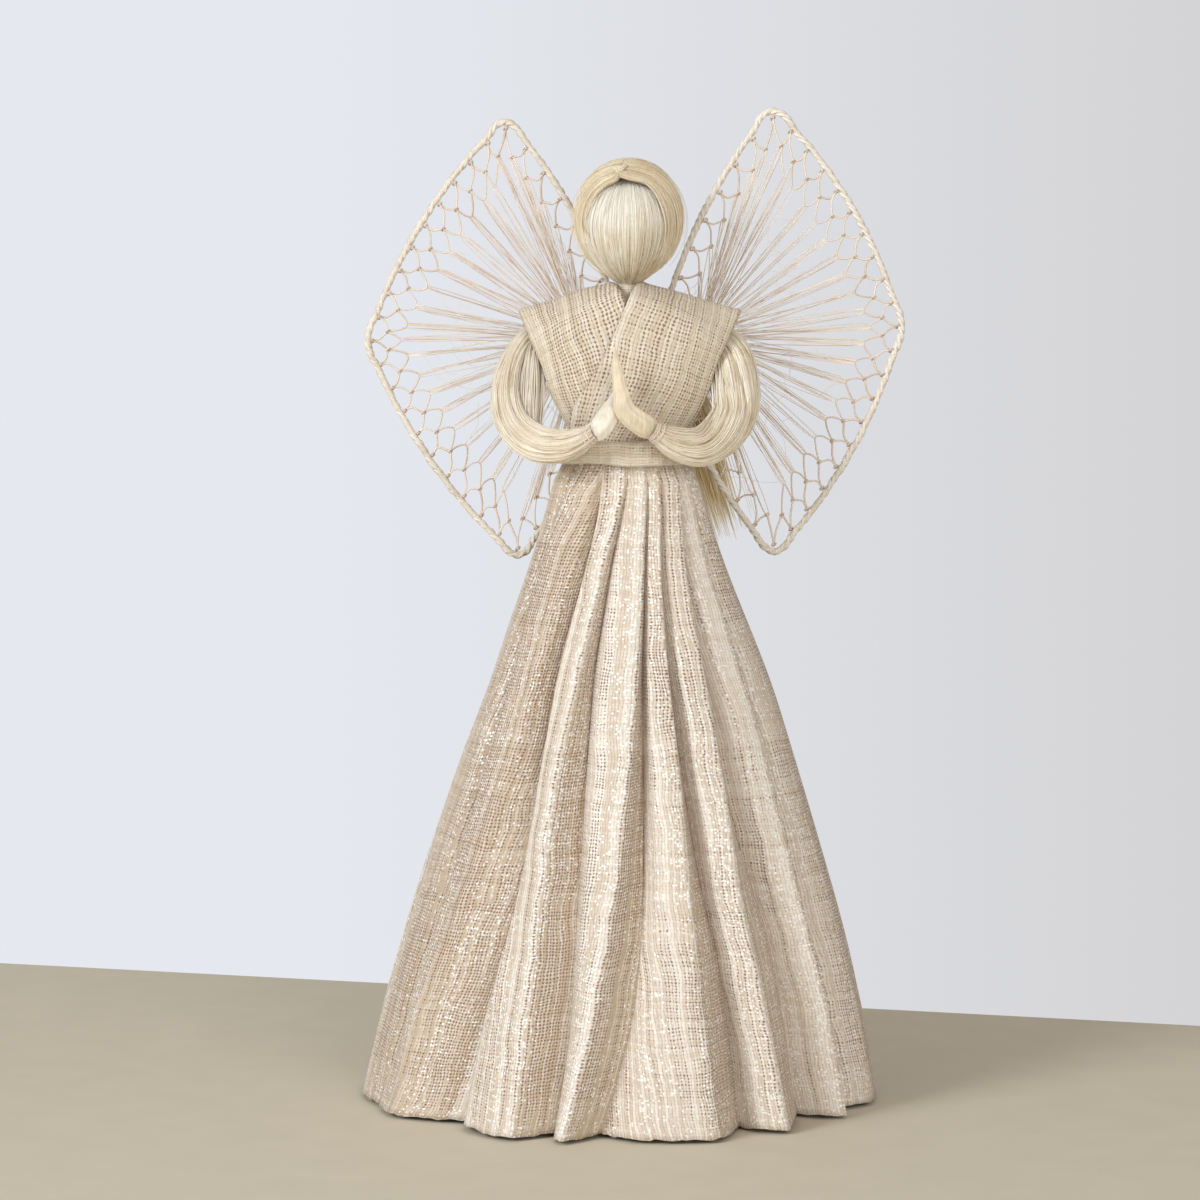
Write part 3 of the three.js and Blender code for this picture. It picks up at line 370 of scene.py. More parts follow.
def woven(name, light, deep, hole_shade_colour, openness, ribs, pitch=0.93, pleated=False, glitter=0.0):
    """Open plain weave of stiff fibres: even threads, and holes between them in columns and patches, painted dark for
    the shade inside that shows through them.
    It follows the piece's own cloth coordinates, in millimetres"""
    material, tree, shader = material_of(name, 0.6, Specular_IOR_Level=0.35)
    across, along = cloth_place(tree)
    add, less, times, over = (partial(sums, tree, kind) for kind in ("ADD", "SUBTRACT", "MULTIPLY", "DIVIDE"))
    noise, scaled, maths, blend = (partial(helper, tree) for helper in (cloth_noise, ramp, sums, blend_colours))

    def chance(value, seed):
        return node(tree, "TexWhiteNoise", {"W": add(value, seed)}, noise_dimensions="1D")

    threads = []
    for value, other, seed in [(across, along, 3.5), (along, across, 41.5)]:
        drift = scaled(noise(value, other, 0.05), 0.3, 0.7, -0.7, 0.7)
        tremble = scaled(noise(value, other, 0.6), 0.3, 0.7, -0.12, 0.12)
        cell = over(add(value, drift, tremble), pitch)
        number, gap = maths("FLOOR", cell), maths("FLOOR", add(cell, 0.5))
        off = maths("ABSOLUTE", less(maths("FRACT", cell), 0.5))
        threads.append((number, off, chance(number, seed), chance(gap, seed + 60.25)))
    # The upright threads come first in each of these, then the level ones
    numbers, offs, lucks, gap_lucks = zip(*threads)

    # A hole lies where a gap between two upright threads crosses a gap between two level ones
    patches = scaled(noise(across, times(along, 0.3), 0.06, 3.0), 0.3, 0.7, -0.3, 0.3)
    open_here = add(times(gap_lucks[0], 0.7), times(gap_lucks[1], 0.35), patches)
    if pleated:
        # Painted shade: the face just right of each ridge, turned away from the light, gets more dark holes and a
        # darker tone
        pleat = maths("FLOOR", add(over(across, CLOTH_STEP), 0.5))
        beside = less(times(pleat, CLOTH_STEP), across)
        painted_shade = scaled(beside, -0.6, -2.2)
        open_here = add(open_here, scaled(along, 2.5, 6.0, -0.7, 0.0), times(painted_shade, 0.3))
    amount = scaled(open_here, 1.0 - openness, 1.45 - openness)
    spread = maths("SQRT", add(*(maths("POWER", less(0.5, off), 2.0) for off in offs)))
    near = scaled(over(spread, scaled(amount, 0, 1, 0.24, 0.46)), 0.45, 0.85)
    hole = times(less(1.0, near), scaled(amount, 0.0, 0.6))

    parity = maths("MODULO", maths("ABSOLUTE", add(*numbers)), 2.0)
    highs = [add(scaled(off, 0.1, 0.5, 1.0, 0.0), scaled(parity, 0, 1, -lift, lift))
             for off, lift in zip(offs, (0.2, -0.2))]
    height = less(maths("MAXIMUM", *highs), hole)
    streak = scaled(noise(times(across, 6.0), along, 0.5, 4.0), 0.3, 0.7, -0.05, 0.35)
    tone = add(times(lucks[0], 0.5), times(lucks[1], 0.2), streak)
    # Painted shade: each thread darkens toward its edges, in the crevices between threads
    tone = less(tone, times(scaled(offs[0], 0.3, 0.5), ribs), times(scaled(offs[1], 0.36, 0.5), 0.35 * ribs))
    if pleated:
        # Painted shade on the faces turned away from the light
        tone = less(tone, times(painted_shade, 0.36))
    colour = blend(scaled(tone, -0.1, 0.8), (*deep, 1), (*light, 1))
    if glitter:
        # Glitter: flakes woven into the cloth, their white colour a painted glint, set more often near the ridges where
        # they catch the light
        spot = node(tree, "CombineXYZ", {0: across, 1: along})
        flakes = node(tree, "TexVoronoi", {"Vector": spot, "Scale": 1.3}, voronoi_dimensions="2D")
        luck = node(tree, "SeparateColor", {0: flakes.outputs["Color"]})
        near_ridge = scaled(maths("ABSOLUTE", beside), 0.5, 5.0, 0.08, -0.06)
        lane = scaled(noise(across, times(along, 0.08), 0.16, 3.0), 0.35, 0.65, -0.16, 0.17)
        chosen = scaled(add(luck, near_ridge, lane), 1 - glitter, 1.05 - glitter)
        shine = times(chosen, maths("LESS_THAN", flakes.outputs["Distance"], 0.4))
        colour = blend(shine, colour, (1.0, 1.0, 1.0, 1))
        fill(shader, Roughness=scaled(shine, 0, 1, 0.6, 0.3), Specular_IOR_Level=scaled(shine, 0, 1, 0.35, 1.0))
    # Painted shade: the holes take the dark colour of the shaded inside, seen through the weave
    colour = blend(times(hole, 0.8), colour, (*hole_shade_colour, 1))
    fill(shader, Base_Color=colour, Normal=bumps(tree, height, 0.00012, 0.7))
    return material


def dress(piece, material, slot, *nodes):
    """Gives a piece its material; the slot is not used. It stands for the named nodes of the CAD model, if there are
    any
    """
    piece.data.materials.append(material)
    if nodes:
        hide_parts(*nodes)
    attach(piece, "root")


skirt = grid_object("skirt_cloth", skirt_rows, skirt_uv, closed=True)
skirt_wall = skirt.modifiers.new("solidify", "SOLIDIFY")
skirt_wall.thickness = 0.00055
skirt_wall.offset = -1
skirt_weave = woven("skirt abaca weave", (0.91, 0.87, 0.81), (0.58, 0.47, 0.36), (0.20, 0.08, 0.05),
                    openness=0.47, ribs=0.5, pleated=True, glitter=0.22)
dress(skirt, skirt_weave, "cloth", "skirt")


# --- Waistband: a folded strip of the same abaca, wrapped over the gathers ---
# The cloth is doubled and pulled tight, so its edges are rolled and its threads run round the waist.
def swept(name, rings, closed_round=False):
    """A tube or rolled band: rings of points joined in order, each closed on itself"""
    rings = np.asarray(rings, float)
    rings = np.concatenate([rings, rings[:, :1]], axis=1)
    if closed_round:
        rings = np.concatenate([rings, rings[:1]], axis=0)
    along = np.append(0, np.cumsum(np.linalg.norm(np.diff(rings, axis=0), axis=2).max(1)))
    across = np.append(0, np.cumsum(np.linalg.norm(np.diff(rings, axis=1), axis=2).max(0)))
    made = grid_object(name, rings, lambda row, column, square: np.stack([across[column], along[row]], -1), True)
    reshaped(made.data, lambda sheet: bmesh.ops.recalc_face_normals(sheet, faces=sheet.faces))
    return made


def turns_round(count):
    return np.linspace(0, 2 * pi, count + 1)[:-1]


# The band's section: how far out and how far up each point lies from the middle of its inner side
band_section = [(0.1, -3.5), (0.9, -3.75), (1.6, -3.6), (1.95, -3.0), (1.85, -1.8), (1.8, 0), (1.85, 1.8), (1.95, 2.9),
                (1.6, 3.5), (0.9, 3.65), (0.1, 3.4), (0, 0)]
band_rings = []
for turn in turns_round(120):
    sag = 0.35 * math.sin(turn * 2 + 0.6) + 0.25 * math.sin(turn * 5)
    pinch = 1 - 0.12 * max(0.0, math.sin(turn * 3 + 1.2)) ** 2
    ring = []
    for out, up in band_section:
        out += 0.3 * math.sin(turn * 13 + up * 0.8) + 0.2 * math.sin(turn * 29 - up * 0.9)
        height = 187.0 + up * pinch + 0.5 * sag
        ring.append((CORE_X + (19.7 + out) * math.cos(turn), (16.5 + out) * math.sin(turn), height))
    band_rings.append(ring)
waistband = swept("waistband_cloth", band_rings, closed_round=True)
bodice_weave = woven("bodice abaca weave", (0.83, 0.78, 0.69), (0.60, 0.50, 0.37), (0.22, 0.11, 0.06),
                     openness=0.68, ribs=0.7)
dress(waistband, bodice_weave, "bodice", "waistband")


# --- Bodice: two folded cloth strips that cross on the chest and on the back ---
# Each runs from the waist in front over a shoulder to the waist behind; the right one lies over the left.
# The cloth is turned in along both edges, and its threads follow the outer edge.
def arc(b, c, leaving, arriving, t):
    """A smooth run from b to c with its direction at either end"""
    return b + t * (leaving + t * (3 * (c - b) - 2 * leaving - arriving + t * (2 * (b - c) + leaving + arriving)))


def curve_through(points, shares):
    """A smooth curve through points, read at shares of its run from 0 to 1"""
    points = np.asarray(points, float)
    place = np.clip(np.asarray(shares, float) * (len(points) - 1), 0, len(points) - 1 - 1e-9)
    first = place.astype(int)
    run = np.vstack([2 * points[0] - points[1], points, 2 * points[-1] - points[-2]])
    a, b, c, d = (run[first + k] for k in range(4))
    ab, bc, cd = (np.maximum(np.linalg.norm(q - p, axis=1, keepdims=True), 1e-6) ** 0.5
                  for p, q in [(a, b), (b, c), (c, d)])
    leaving = ((b - a) / ab - (c - a) / (ab + bc) + (c - b) / bc) * bc
    arriving = ((c - b) / bc - (d - b) / (bc + cd) + (d - c) / cd) * bc
    return arc(b, c, leaving, arriving, (place - first)[:, None])


def even_spline(points, share):
    """A smooth run of values between a few even stations"""
    points = np.asarray(points, float)
    place = min(share * (len(points) - 1), len(points) - 1 - 1e-9)
    first = int(place)
    a, b, c, d = (points[np.clip(first + k, 0, len(points) - 1)] for k in (-1, 0, 1, 2))
    return arc(b, c, (c - a) / 2, (d - b) / 2, place - first)


def unit(vectors):
    return vectors / np.linalg.norm(vectors, axis=-1, keepdims=True)


def distances(points):
    """How far each point of a line has come from its start"""
    return np.append(0, np.cumsum(np.linalg.norm(np.diff(points, axis=0), axis=1)))


def sizes_at(levels, height):
    """Half width and half depth at a height, between levels that give all three"""
    levels = np.array(levels)
    return (np.interp(height, levels[:, 0], levels[:, k]) for k in (1, 2))


bodice_levels = [(189.3, 16.3, 13.3), (203.4, 24.8, 14.6), (210, 27, 14.4), (217.8, 31, 13.2), (226, 31, 11)]


def strip(name, side, lift, reach):
    def place(angle, height):
        half, depth = (size + lift for size in sizes_at(bodice_levels, height))
        turn = math.radians(angle)
        return [CORE_X + side * half * math.sin(turn), -depth * math.cos(turn), height]

    outer_stations = [(62, 189.3), (60, 203.4), (60, 217.8)]
    inner_stations = [(-62, 189.3), (-17.5, 210), (2, 230.9)]
    shares = even(31)
    front = []
    for share_up in np.arange(5) / 4:
        outer, inner = even_spline(outer_stations, share_up), even_spline(inner_stations, share_up)
        front.append([place(*(outer + (inner - outer) * share)) for share in shares])
    crest = [[CORE_X + side * (reach + (6.4 - reach) * share), 0, 226.4 + 8.2 * share] for share in shares]
    behind = [[(x, -y, z) for x, y, z in line] for line in reversed(front)]
    lines = np.array([*front, crest, *behind])
    sheet = np.stack([curve_through(line, even(81)) for line in lines.swapaxes(0, 1)], axis=1)
    near_neck = np.clip((shares[None, :] - 0.6) / 0.4, 0, 1) ** 2 * np.clip((sheet[..., 2] - 229) / 4.5, 0, 1)
    sheet[..., 0] = CORE_X + (sheet[..., 0] - CORE_X) * (1 - 0.42 * near_neck)
    out = unit(np.cross(np.gradient(sheet, axis=0), np.gradient(sheet, axis=1)))
    out *= np.sign(out[20, 15, 1]) * -1
    width = np.linalg.norm(np.diff(sheet, axis=1), axis=2).sum(1)
    from_edge = np.minimum(shares, 1 - shares)[None, :] * width[:, None]
    fold = 0.3 * np.exp(-((from_edge - 0.9) / 0.9) ** 2) - 0.35 * np.exp(-(from_edge / 0.35) ** 2)
    ripple = 0.18 * sin(sheet[..., 2:3] * 0.35 + sheet[..., 0:1] * 0.22 + 2 * side)
    sheet = sheet + out * (fold[..., None] + ripple * np.minimum(1, from_edge[..., None] / 4))
    reached = distances(sheet[:, 3])
    made = grid_object(name, sheet, lambda row, column, square: np.stack(
        [shares[column] * width[row] + 100 * (side + 2), reached[row]], -1))
    wall = made.modifiers.new("folded cloth", "SOLIDIFY")
    wall.thickness = 0.0009
    wall.offset = 0
    wall.use_even_offset = True
    dress(made, bodice_weave, "bodice", name.removesuffix("_cloth"))


strip("bodice_left_cloth", -1, 0.0, 30.5)
strip("bodice_right_cloth", 1, 1.8, 32.7)


# --- Arms: two bundles of combed raffia over one wire, bent into loops and bound at the wrists ---
# The fibres are smooth and glossy, pale on top of the bundle and deep gold between.
def fibres(name, strands, sides=4):
    """Thin round fibres made one mesh. Each strand is a path, its half width (one, or one a point) and its tone"""
    paths, halves, tones = zip(*strands)
    curve = bpy.data.curves.new(name, "CURVE")
    curve.dimensions = "3D"
    curve.bevel_depth = 0.001
    curve.bevel_resolution = sides // 2 - 2  # Blender turns this back into that many sides
    for path, half in zip(paths, halves):
        spline = curve.splines.new("POLY")
        spline.points.add(len(path) - 1)
        spline.points.foreach_set("co", np.c_[np.asarray(path) / 1000, np.ones(len(path))].ravel())
        spline.points.foreach_set("radius", np.broadcast_to(half, len(path)).astype(float).ravel())
    drawn = placed(name, curve)
    mesh = bpy.data.meshes.new_from_object(drawn)
    bpy.data.objects.remove(drawn)
    for key, values in [("tone", np.repeat(tones, [len(path) * sides for path in paths])),
                        ("along", np.concatenate([even(len(path)).repeat(sides) for path in paths]))]:
        mesh.attributes.new(key, "FLOAT", "POINT").data.foreach_set("value", values.astype(float))
    mesh.shade_smooth()
    mesh.name = name
    return placed(name, mesh)


def frames_along(route, shares):
    """Middle points of a route with the directions along it, across it and up from it"""
    middle = curve_through(route, shares)
    along = unit(np.gradient(middle, axis=0))
    across = unit(np.cross(along, (0, 1, 0)))
    return middle, along, across, np.cross(across, along)


def points_round(frames, out, turn, flatness=1.0):
    """Points beside a route's middle points, each at its distance and turn"""
    middle, _, across, up = frames
    return middle + across * (out * cos(turn))[:, None] + up * (out * flatness * sin(turn))[:, None]


def halves_at(widths, shares):
    return np.array([even_spline(widths, share) for share in shares])


def grooves(turn, shares):
    """A bundle is made of smaller ones: sharp grooves between them run along it and turn slowly round"""
    return cos(3.5 * (turn - 0.9 * shares) + 0.7 * sin(7 * shares)) ** 24


def bundle_rings(route, widths, steps, sides, flatness=1.0, shrink=1.0, groove=0.0):
    shares = even(steps)
    frames, half = frames_along(route, shares), halves_at(widths, shares) * shrink
    return np.stack([points_round(frames, half * (1 - groove * grooves(turn, shares)), turn, flatness)
                     for turn in turns_round(sides)], axis=1)


def bundle_paths(route, widths, count, steps, flatness=1.0, twist=0.5, reach=(0.9, 1.03), ends=(0.0, 1.0), groove=0.0):
    """Strands that run on the outside of a bundle, drifting a little round it"""
    paths = []
    for k in range(count):
        shares = np.linspace(ends[0] + 0.01 * dice.random(), ends[1] - 0.01 * dice.random(), steps)
        turn = 2 * pi * (k + dice.random()) / count + twist * shares \
            + about(0, 0.16) * sin(pi * shares * between(0.7, 1.6) + dice.random() * 6)
        swell = between(*reach) + 0.018 * sin(shares * between(8, 16) + dice.random() * 6)
        out = halves_at(widths, shares) * swell * (1 - groove * grooves(turn, shares))
        paths.append(points_round(frames_along(route, shares), out, turn, flatness))
    return paths


def silk(name, pale, middle, deep, roughness=0.38, painted_highlight=0.0):
    """Combed raffia fibre: each strand has its own tone, with fine streaks along it and a satin gloss"""
    material, tree, shader = material_of(name, roughness, Specular_IOR_Level=0.45)
    value = node(tree, "Attribute", attribute_name="tone").outputs["Fac"]
    blotch, fine = clouds(tree, 160.0, 3.0), clouds(tree, 900.0)
    value = sums(tree, "ADD", value, ramp(tree, blotch, 0.3, 0.7, -0.14, 0.14), ramp(tree, fine, 0.3, 0.7, -0.06, 0.06))
    if painted_highlight:
        # Painted highlight: paler toward the start of each strand, and darker toward its end
        along = node(tree, "Attribute", attribute_name="along").outputs["Fac"]
        value = sums(tree, "ADD", value, ramp(tree, along, 0.25, 0.95, painted_highlight, -painted_highlight))
    fill(shader, Base_Color=coloured(tree, value, (0.05, deep), (0.5, middle), (0.95, pale)),
         Roughness=ramp(tree, fine, 0.3, 0.7, roughness - 0.06, roughness + 0.12),
         Normal=bumps(tree, fine, 0.0001, 0.4))
    return material


def combed(name, pale, middle, deep, roughness=0.36, spacing=0.3, painted_highlight=0.0):
    """The smooth outside of a bundle: fine streaks and ribs that run along it, in its own cloth coordinates"""
    material, tree, shader = material_of(name, roughness, Specular_IOR_Level=0.45)
    across, along = cloth_place(tree)
    over = partial(sums, tree, "DIVIDE")
    fine, broad = (cloth_noise(tree, over(across, width), over(along, length), 1.0, detail)
                   for width, length, detail in [(spacing, 40 * spacing, 3.0), (5 * spacing, 90 * spacing, 2.0)])
    value = sums(tree, "ADD", ramp(tree, fine, 0.28, 0.72, -0.28, 0.34), ramp(tree, broad, 0.3, 0.7, 0.32, 0.74))
    if painted_highlight:
        # Painted highlight: paler toward the start of the run, and darker further along it
        value = sums(tree, "ADD", value, ramp(tree, along, 12.0, 44.0, painted_highlight, -painted_highlight))
    fill(shader, Base_Color=coloured(tree, value, (0.05, deep), (0.45, middle), (0.92, pale)),
         Normal=bumps(tree, fine, 0.00025, 0.8))
    return material


arm_colours = [(0.94, 0.89, 0.80), (0.80, 0.71, 0.55), (0.42, 0.28, 0.15)]
arm_silk = silk("combed raffia", *arm_colours)
arm_surface = combed("arm bundle surface", *arm_colours)
# Each arm's route and its half widths, and the route of the strands nearest the body, which hang straight down
# from the shoulder and pass behind the forearm
arms = {
    "left": ([(-11, 1.5, 222), (-20, 1.5, 222), (-28, 1, 221), (-33.4, -1, 216), (-36.6, -5, 207.5), (-36.4, -9, 199),
              (-32.8, -13.5, 192.8), (-26.4, -18, 189.4), (-18.4, -22.2, 189.8), (-11.4, -25.4, 193.6)],
             [2.4, 2.5, 2.4, 2.8, 3.8, 4.6, 5, 5.2, 4.2, 2.6],
             [(-26.5, 0, 222), (-28.4, -3, 213), (-29.2, -8, 202), (-29.6, -12.5, 191)]),
    "right": ([(6, 1.5, 222), (15, 1.5, 222), (22, 1, 220.9), (27.2, -1, 215.4), (29, -5, 206), (28.2, -9, 197.6),
               (23.6, -13.5, 191.4), (17.8, -18, 188.8), (10.8, -22, 190.4), (4.4, -25.2, 194.2)],
              [2.4, 2.7, 3.2, 5.2, 6.4, 6.4, 6.1, 5.6, 4.4, 2.6],
              [(22.2, 0, 222), (24.2, -3, 213), (24.8, -8, 202), (25, -12.5, 190)]),
}
OUTER_COUNT, INNER_COUNT = 300, 130
for side, (route, widths, inner_route) in arms.items():
    bundle = swept(f"arm_{side}_bundle", bundle_rings(route, widths, 100, 140, shrink=0.97, groove=0.16))
    dress(bundle, arm_surface, "fibre")
    paths = bundle_paths(route, widths, OUTER_COUNT, 40, reach=(0.93, 1.01), twist=0.9, groove=0.16)
    paths += bundle_paths(inner_route, [2.4, 3.4, 3.6, 3.0], INNER_COUNT, 40, twist=0.2, reach=(0.2, 1.0))
    taper = np.minimum(1, 0.2 + 8 * np.minimum(even(40), np.linspace(1, 0, 40)))
    tones = about(0.68, 0.2, len(paths))
    tones[OUTER_COUNT:] += 0.25
    halves = [between(0.09, 0.22) * taper for _ in paths]
    dress(fibres(f"arm_{side}_fibres", zip(paths, halves, np.clip(tones, 0.05, 1))), arm_silk, "fibre", f"arm_{side}")


# --- Hands: two stiff leaf shapes with a waxed, smooth surface, held palm to palm with their tips up ---
def hand(name, side, route, widths, tint):
    before, wrist = frames_along(arms[side][0], [0.99, 1.0])[0]
    heading = unit(wrist - before)
    rings = bundle_rings([wrist - heading * 1.2, wrist + heading * 1.8, *route], widths, 40, 40, flatness=0.55)
    crease = cos(turns_round(40) * 7)
    middle = rings.mean(1, keepdims=True)
    made = swept(name, middle + (rings - middle) * (1 + 0.05 * crease)[None, :, None])
    material, tree, shader = material_of(name + " leaf", 0.36, Specular_IOR_Level=0.5, Coat_Weight=0.15)
    streak = clouds(tree, 1.0, 4.0, stretch=(1500, 1500, 90))
    value = sums(tree, "ADD", sums(tree, "MULTIPLY", streak, 0.6), sums(tree, "MULTIPLY", clouds(tree, 180.0), 0.5))
    fill(shader, Base_Color=coloured(tree, value, (0.42, [0.8 * c for c in tint]), (0.64, tint)),
         Normal=bumps(tree, streak, 0.00012, 0.5))
    dress(made, material, "hand", name.removesuffix("_leaf"))


hand("hand_right_leaf", "right", [(-2.6, -27, 199.5), (-4.1, -26.4, 205), (-5.2, -25.6, 211.5), (-5.9, -25, 217.2)],
     [2.5, 3.3, 3.0, 2.2, 1.4, 0.4], (0.86, 0.75, 0.56))
hand("hand_left_leaf", "left", [(-7.2, -24.4, 198.5), (-4.8, -22.4, 203), (-4.2, -21.9, 207), (-4.0, -21.9, 211)],
     [2.5, 3.2, 3.0, 2.2, 1.4, 0.4], (0.95, 0.89, 0.78))


# --- Thread ties: fine pale thread wound tight round wrists, neck, nape, waist and wing root ---
# Every second thread of a tie is wound the other way, so that they cross.
thread_silk = silk("tie thread", (0.90, 0.82, 0.74), (0.76, 0.64, 0.54), (0.50, 0.36, 0.28), 0.5)


def tie(name, route, widths, start, finish, turns, flatness=1.0, thread=0.26, count=2, wobble=0.15):
    """Threads wound round a bundle between two shares of its run"""
    shares = np.linspace(start, finish, int(turns * 16))
    middle, run, across, up = frames_along(route, shares)
    paths = []
    for k in range(count):
        turn = 2 * pi * (turns * even(len(shares)) + k / count) * (-1) ** k
        slide = wobble * sin(turn * 0.5 + k)
        out = halves_at(widths, shares) + thread * (0.7 + 0.6 * k)
        paths.append(points_round((middle + run * slide[:, None], run, across, up), out, turn, flatness))
    strands = zip(paths, [thread] * count, between(0.45, 0.95, count))
    dress(fibres(name, strands, sides=6), thread_silk, "thread", name.replace("thread", "tie"))


tie("wrist_thread_left", *arms["left"][:2], 0.95, 0.985, 4, thread=0.15, count=1, wobble=0.3)
tie("wrist_thread_right", *arms["right"][:2], 0.955, 0.985, 3, thread=0.15, count=1, wobble=0.3)
waist_line = [(CORE_X, 0, z) for z in (183, 185, 187, 189)]
tie("waist_thread", waist_line, [17.6] * 4, 0.2, 0.8, 4, 14.2 / 17.4, 0.4)


# --- Body core: a roll of raffia from inside the skirt up to the neck, mostly hidden under the cloth ---
# The head's ball above it, wound of raffia waste, is hidden under the veil and the hair.
core_levels = [(152, 7, 7), (164, 10.5, 9.5), (178, 15.2, 12.1), (188, 15.2, 12.1), (202, 14.4, 12), (214, 14.6, 12.2),
               (223, 12.2, 10.6), (229, 7, 6.4), (233, 2.6, 2.6), (237, 2.4, 2.4)]
HEAD_X, HEAD_Y, HEAD_Z = -1.8, -1.0, 251.0
CORE_COUNT = 150


def core_point(share, turn, swell):
    z = np.interp(share, even(len(core_levels)), [level[0] for level in core_levels])
    half, depth = (size * swell for size in sizes_at(core_levels, z))
    lean = np.clip((z - 223) / 10, 0, 1)
    return points_at(CORE_X + (HEAD_X - CORE_X) * lean + half * cos(turn), HEAD_Y * lean + depth * sin(turn), z)


core_turns = turns_round(40)
core_body = swept("torso_filling", [core_point(share, core_turns, 0.97) for share in even(40)])
dress(core_body, arm_surface, "core", "torso_core")
core_paths = [core_point(even(26), k * 2 * pi / CORE_COUNT + 0.2 * sin(np.linspace(0, 3, 26) + k), 0.99)
              for k in range(CORE_COUNT)]
core_tones = np.clip(about(0.5, 0.2, CORE_COUNT), 0.05, 1)
dress(fibres("torso_fibres", zip(core_paths, [0.28] * CORE_COUNT, core_tones)), arm_silk, "core")


def resurface(material, *names):
    """Gives pieces of the CAD model that stay in view a finished material"""
    for name in names:
        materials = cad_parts[name].data.materials
        materials.clear()
        materials.append(material)


ball_waste, tree, shader = material_of("wound raffia waste", 0.65)
clumps = clouds(tree, 420.0, 4.0)
fill(shader, Base_Color=coloured(tree, clumps, (0, (0.58, 0.46, 0.28)), (1, (0.84, 0.74, 0.52))))
resurface(ball_waste, "head_core")


# --- Face: a veil of drawn fibres over a ball, combed straight down and tied at the neck. It has no features ---
# A shell with combed streaks lies just under the strands and closes the gaps between them.
VEIL, NECK_HALF = 14.1, 3.6
FACE_COUNT = 480


def veil_point(down, turn, reach=1.0):
    """A point of the veil: down runs from 0 at the crown to 1 at the neck, turn goes round from straight ahead"""
    lean = np.minimum(down / 0.9, 1) * (pi - math.asin((NECK_HALF + 1) / VEIL))
    low_share = np.clip((down - 0.5) / 0.4, 0, 1) ** 2
    radius = np.where(down < 0.9, VEIL * reach * sin(lean), 3.7) - 0.9 * low_share
    height = np.where(down < 0.9, HEAD_Z + VEIL * reach * cos(lean), HEAD_Z - 13.4 - (down - 0.9) * 25)
    return points_at(HEAD_X + radius * sin(turn), HEAD_Y - radius * cos(turn), height - 2.7 * low_share)


face_colours = [(0.96, 0.94, 0.89), (0.83, 0.75, 0.58), (0.48, 0.33, 0.16)]
veil_turns = turns_round(64)
veil = swept("face_veil", [veil_point(down, veil_turns, 0.985) for down in np.linspace(0.002, 1, 48)])
# The face is painted paler toward the crown as a highlight, and darker toward the neck
dress(veil, combed("face surface", *face_colours, 0.3, spacing=0.26, painted_highlight=0.34), "fibre")
face_paths, face_tones = [], []
down = np.linspace(0.02, 1, 30)
for k in range(FACE_COUNT):
    turn = (k + dice.random()) / FACE_COUNT * 2 * pi
    sway = about(0, 0.035) * sin(down * between(2, 6) + dice.random() * 6)
    face_paths.append(veil_point(down, turn + sway, between(0.985, 1.004)))
    # Painted shade: strands on the face's right side, away from the light, get a darker tone
    face_tones.append(np.clip(about(0.66 - 0.10 * math.sin(turn), 0.18), 0.05, 1))
face_taper = 0.35 + 0.65 * sin(pi * np.linspace(0.02, 0.98, 30)) ** 0.6
face_halves = [between(0.07, 0.15) * face_taper for _ in face_paths]
face_fibres = fibres("face_fibres_combed", zip(face_paths, face_halves, face_tones))
dress(face_fibres, silk("face fibres", *face_colours, 0.3, painted_highlight=0.34), "fibre", "face_fibres")
neck_line = [(HEAD_X, HEAD_Y, z) for z in (231, 233, 235.5, 237.5)]
tie("neck_thread", neck_line, [2.7] * 4, 0.1, 0.55, 5, 1.0, 0.22)


# --- Hair: two hanks combed from a parting knot above the face, round its sides to the nape ---
# The strands lie smooth along the head; a few loose ones sweep over the face and stand off.
HAIR_SIZE = np.array([15.7, 16.8, 17.4])
HAIR_MIDDLE = np.array([HEAD_X, HEAD_Y, HEAD_Z + 2])
PARTING_X = -4.5
HAIR_COUNT, KNOT_COUNT = 540, 90
parting = (PARTING_X - HEAD_X) / HAIR_SIZE[0]


def over_head(stations, count, reach=1.0):
    """A path over the hair's rounded shape through directions from the head's middle"""
    return HAIR_MIDDLE + unit(curve_through(stations, even(count))) * HAIR_SIZE * reach


def hank_path(side, back, reach, count=34):
    """A strand of one hank: back 0 lies along the face's edge, 1 down the middle behind"""
    def round_head(front, wide, height):
        turn = math.radians(front + (180 - front) * back)
        return side * wide * math.sin(turn), -wide * math.cos(turn), height

    tilt = math.radians(41 - 66 * back)
    stations = [(parting * (1 - back) + side * 0.004, -math.sin(tilt) * 0.98, math.cos(tilt) * 0.98),
                round_head(36 if side > 0 else 42, 0.80 - 0.15 * back, 0.66 + 0.1 * back),
                round_head(54 if side > 0 else 66, 1.0, 0.02),
                round_head(62, 0.70 + 0.1 * back, -0.62),
                round_head(100, 0.25 + 0.45 * back, -0.92),
                (0.0, 0.55, -0.84)]
    hug = 0.89 + 0.11 * min(max(back / 0.2, 0), 1)
    along = even(count)[:, None]
    closeness = hug + (1 - hug) * np.maximum(1 - along / 0.12, 0) ** 2
    return HAIR_MIDDLE + (over_head(stations, count, reach) - HAIR_MIDDLE) * closeness


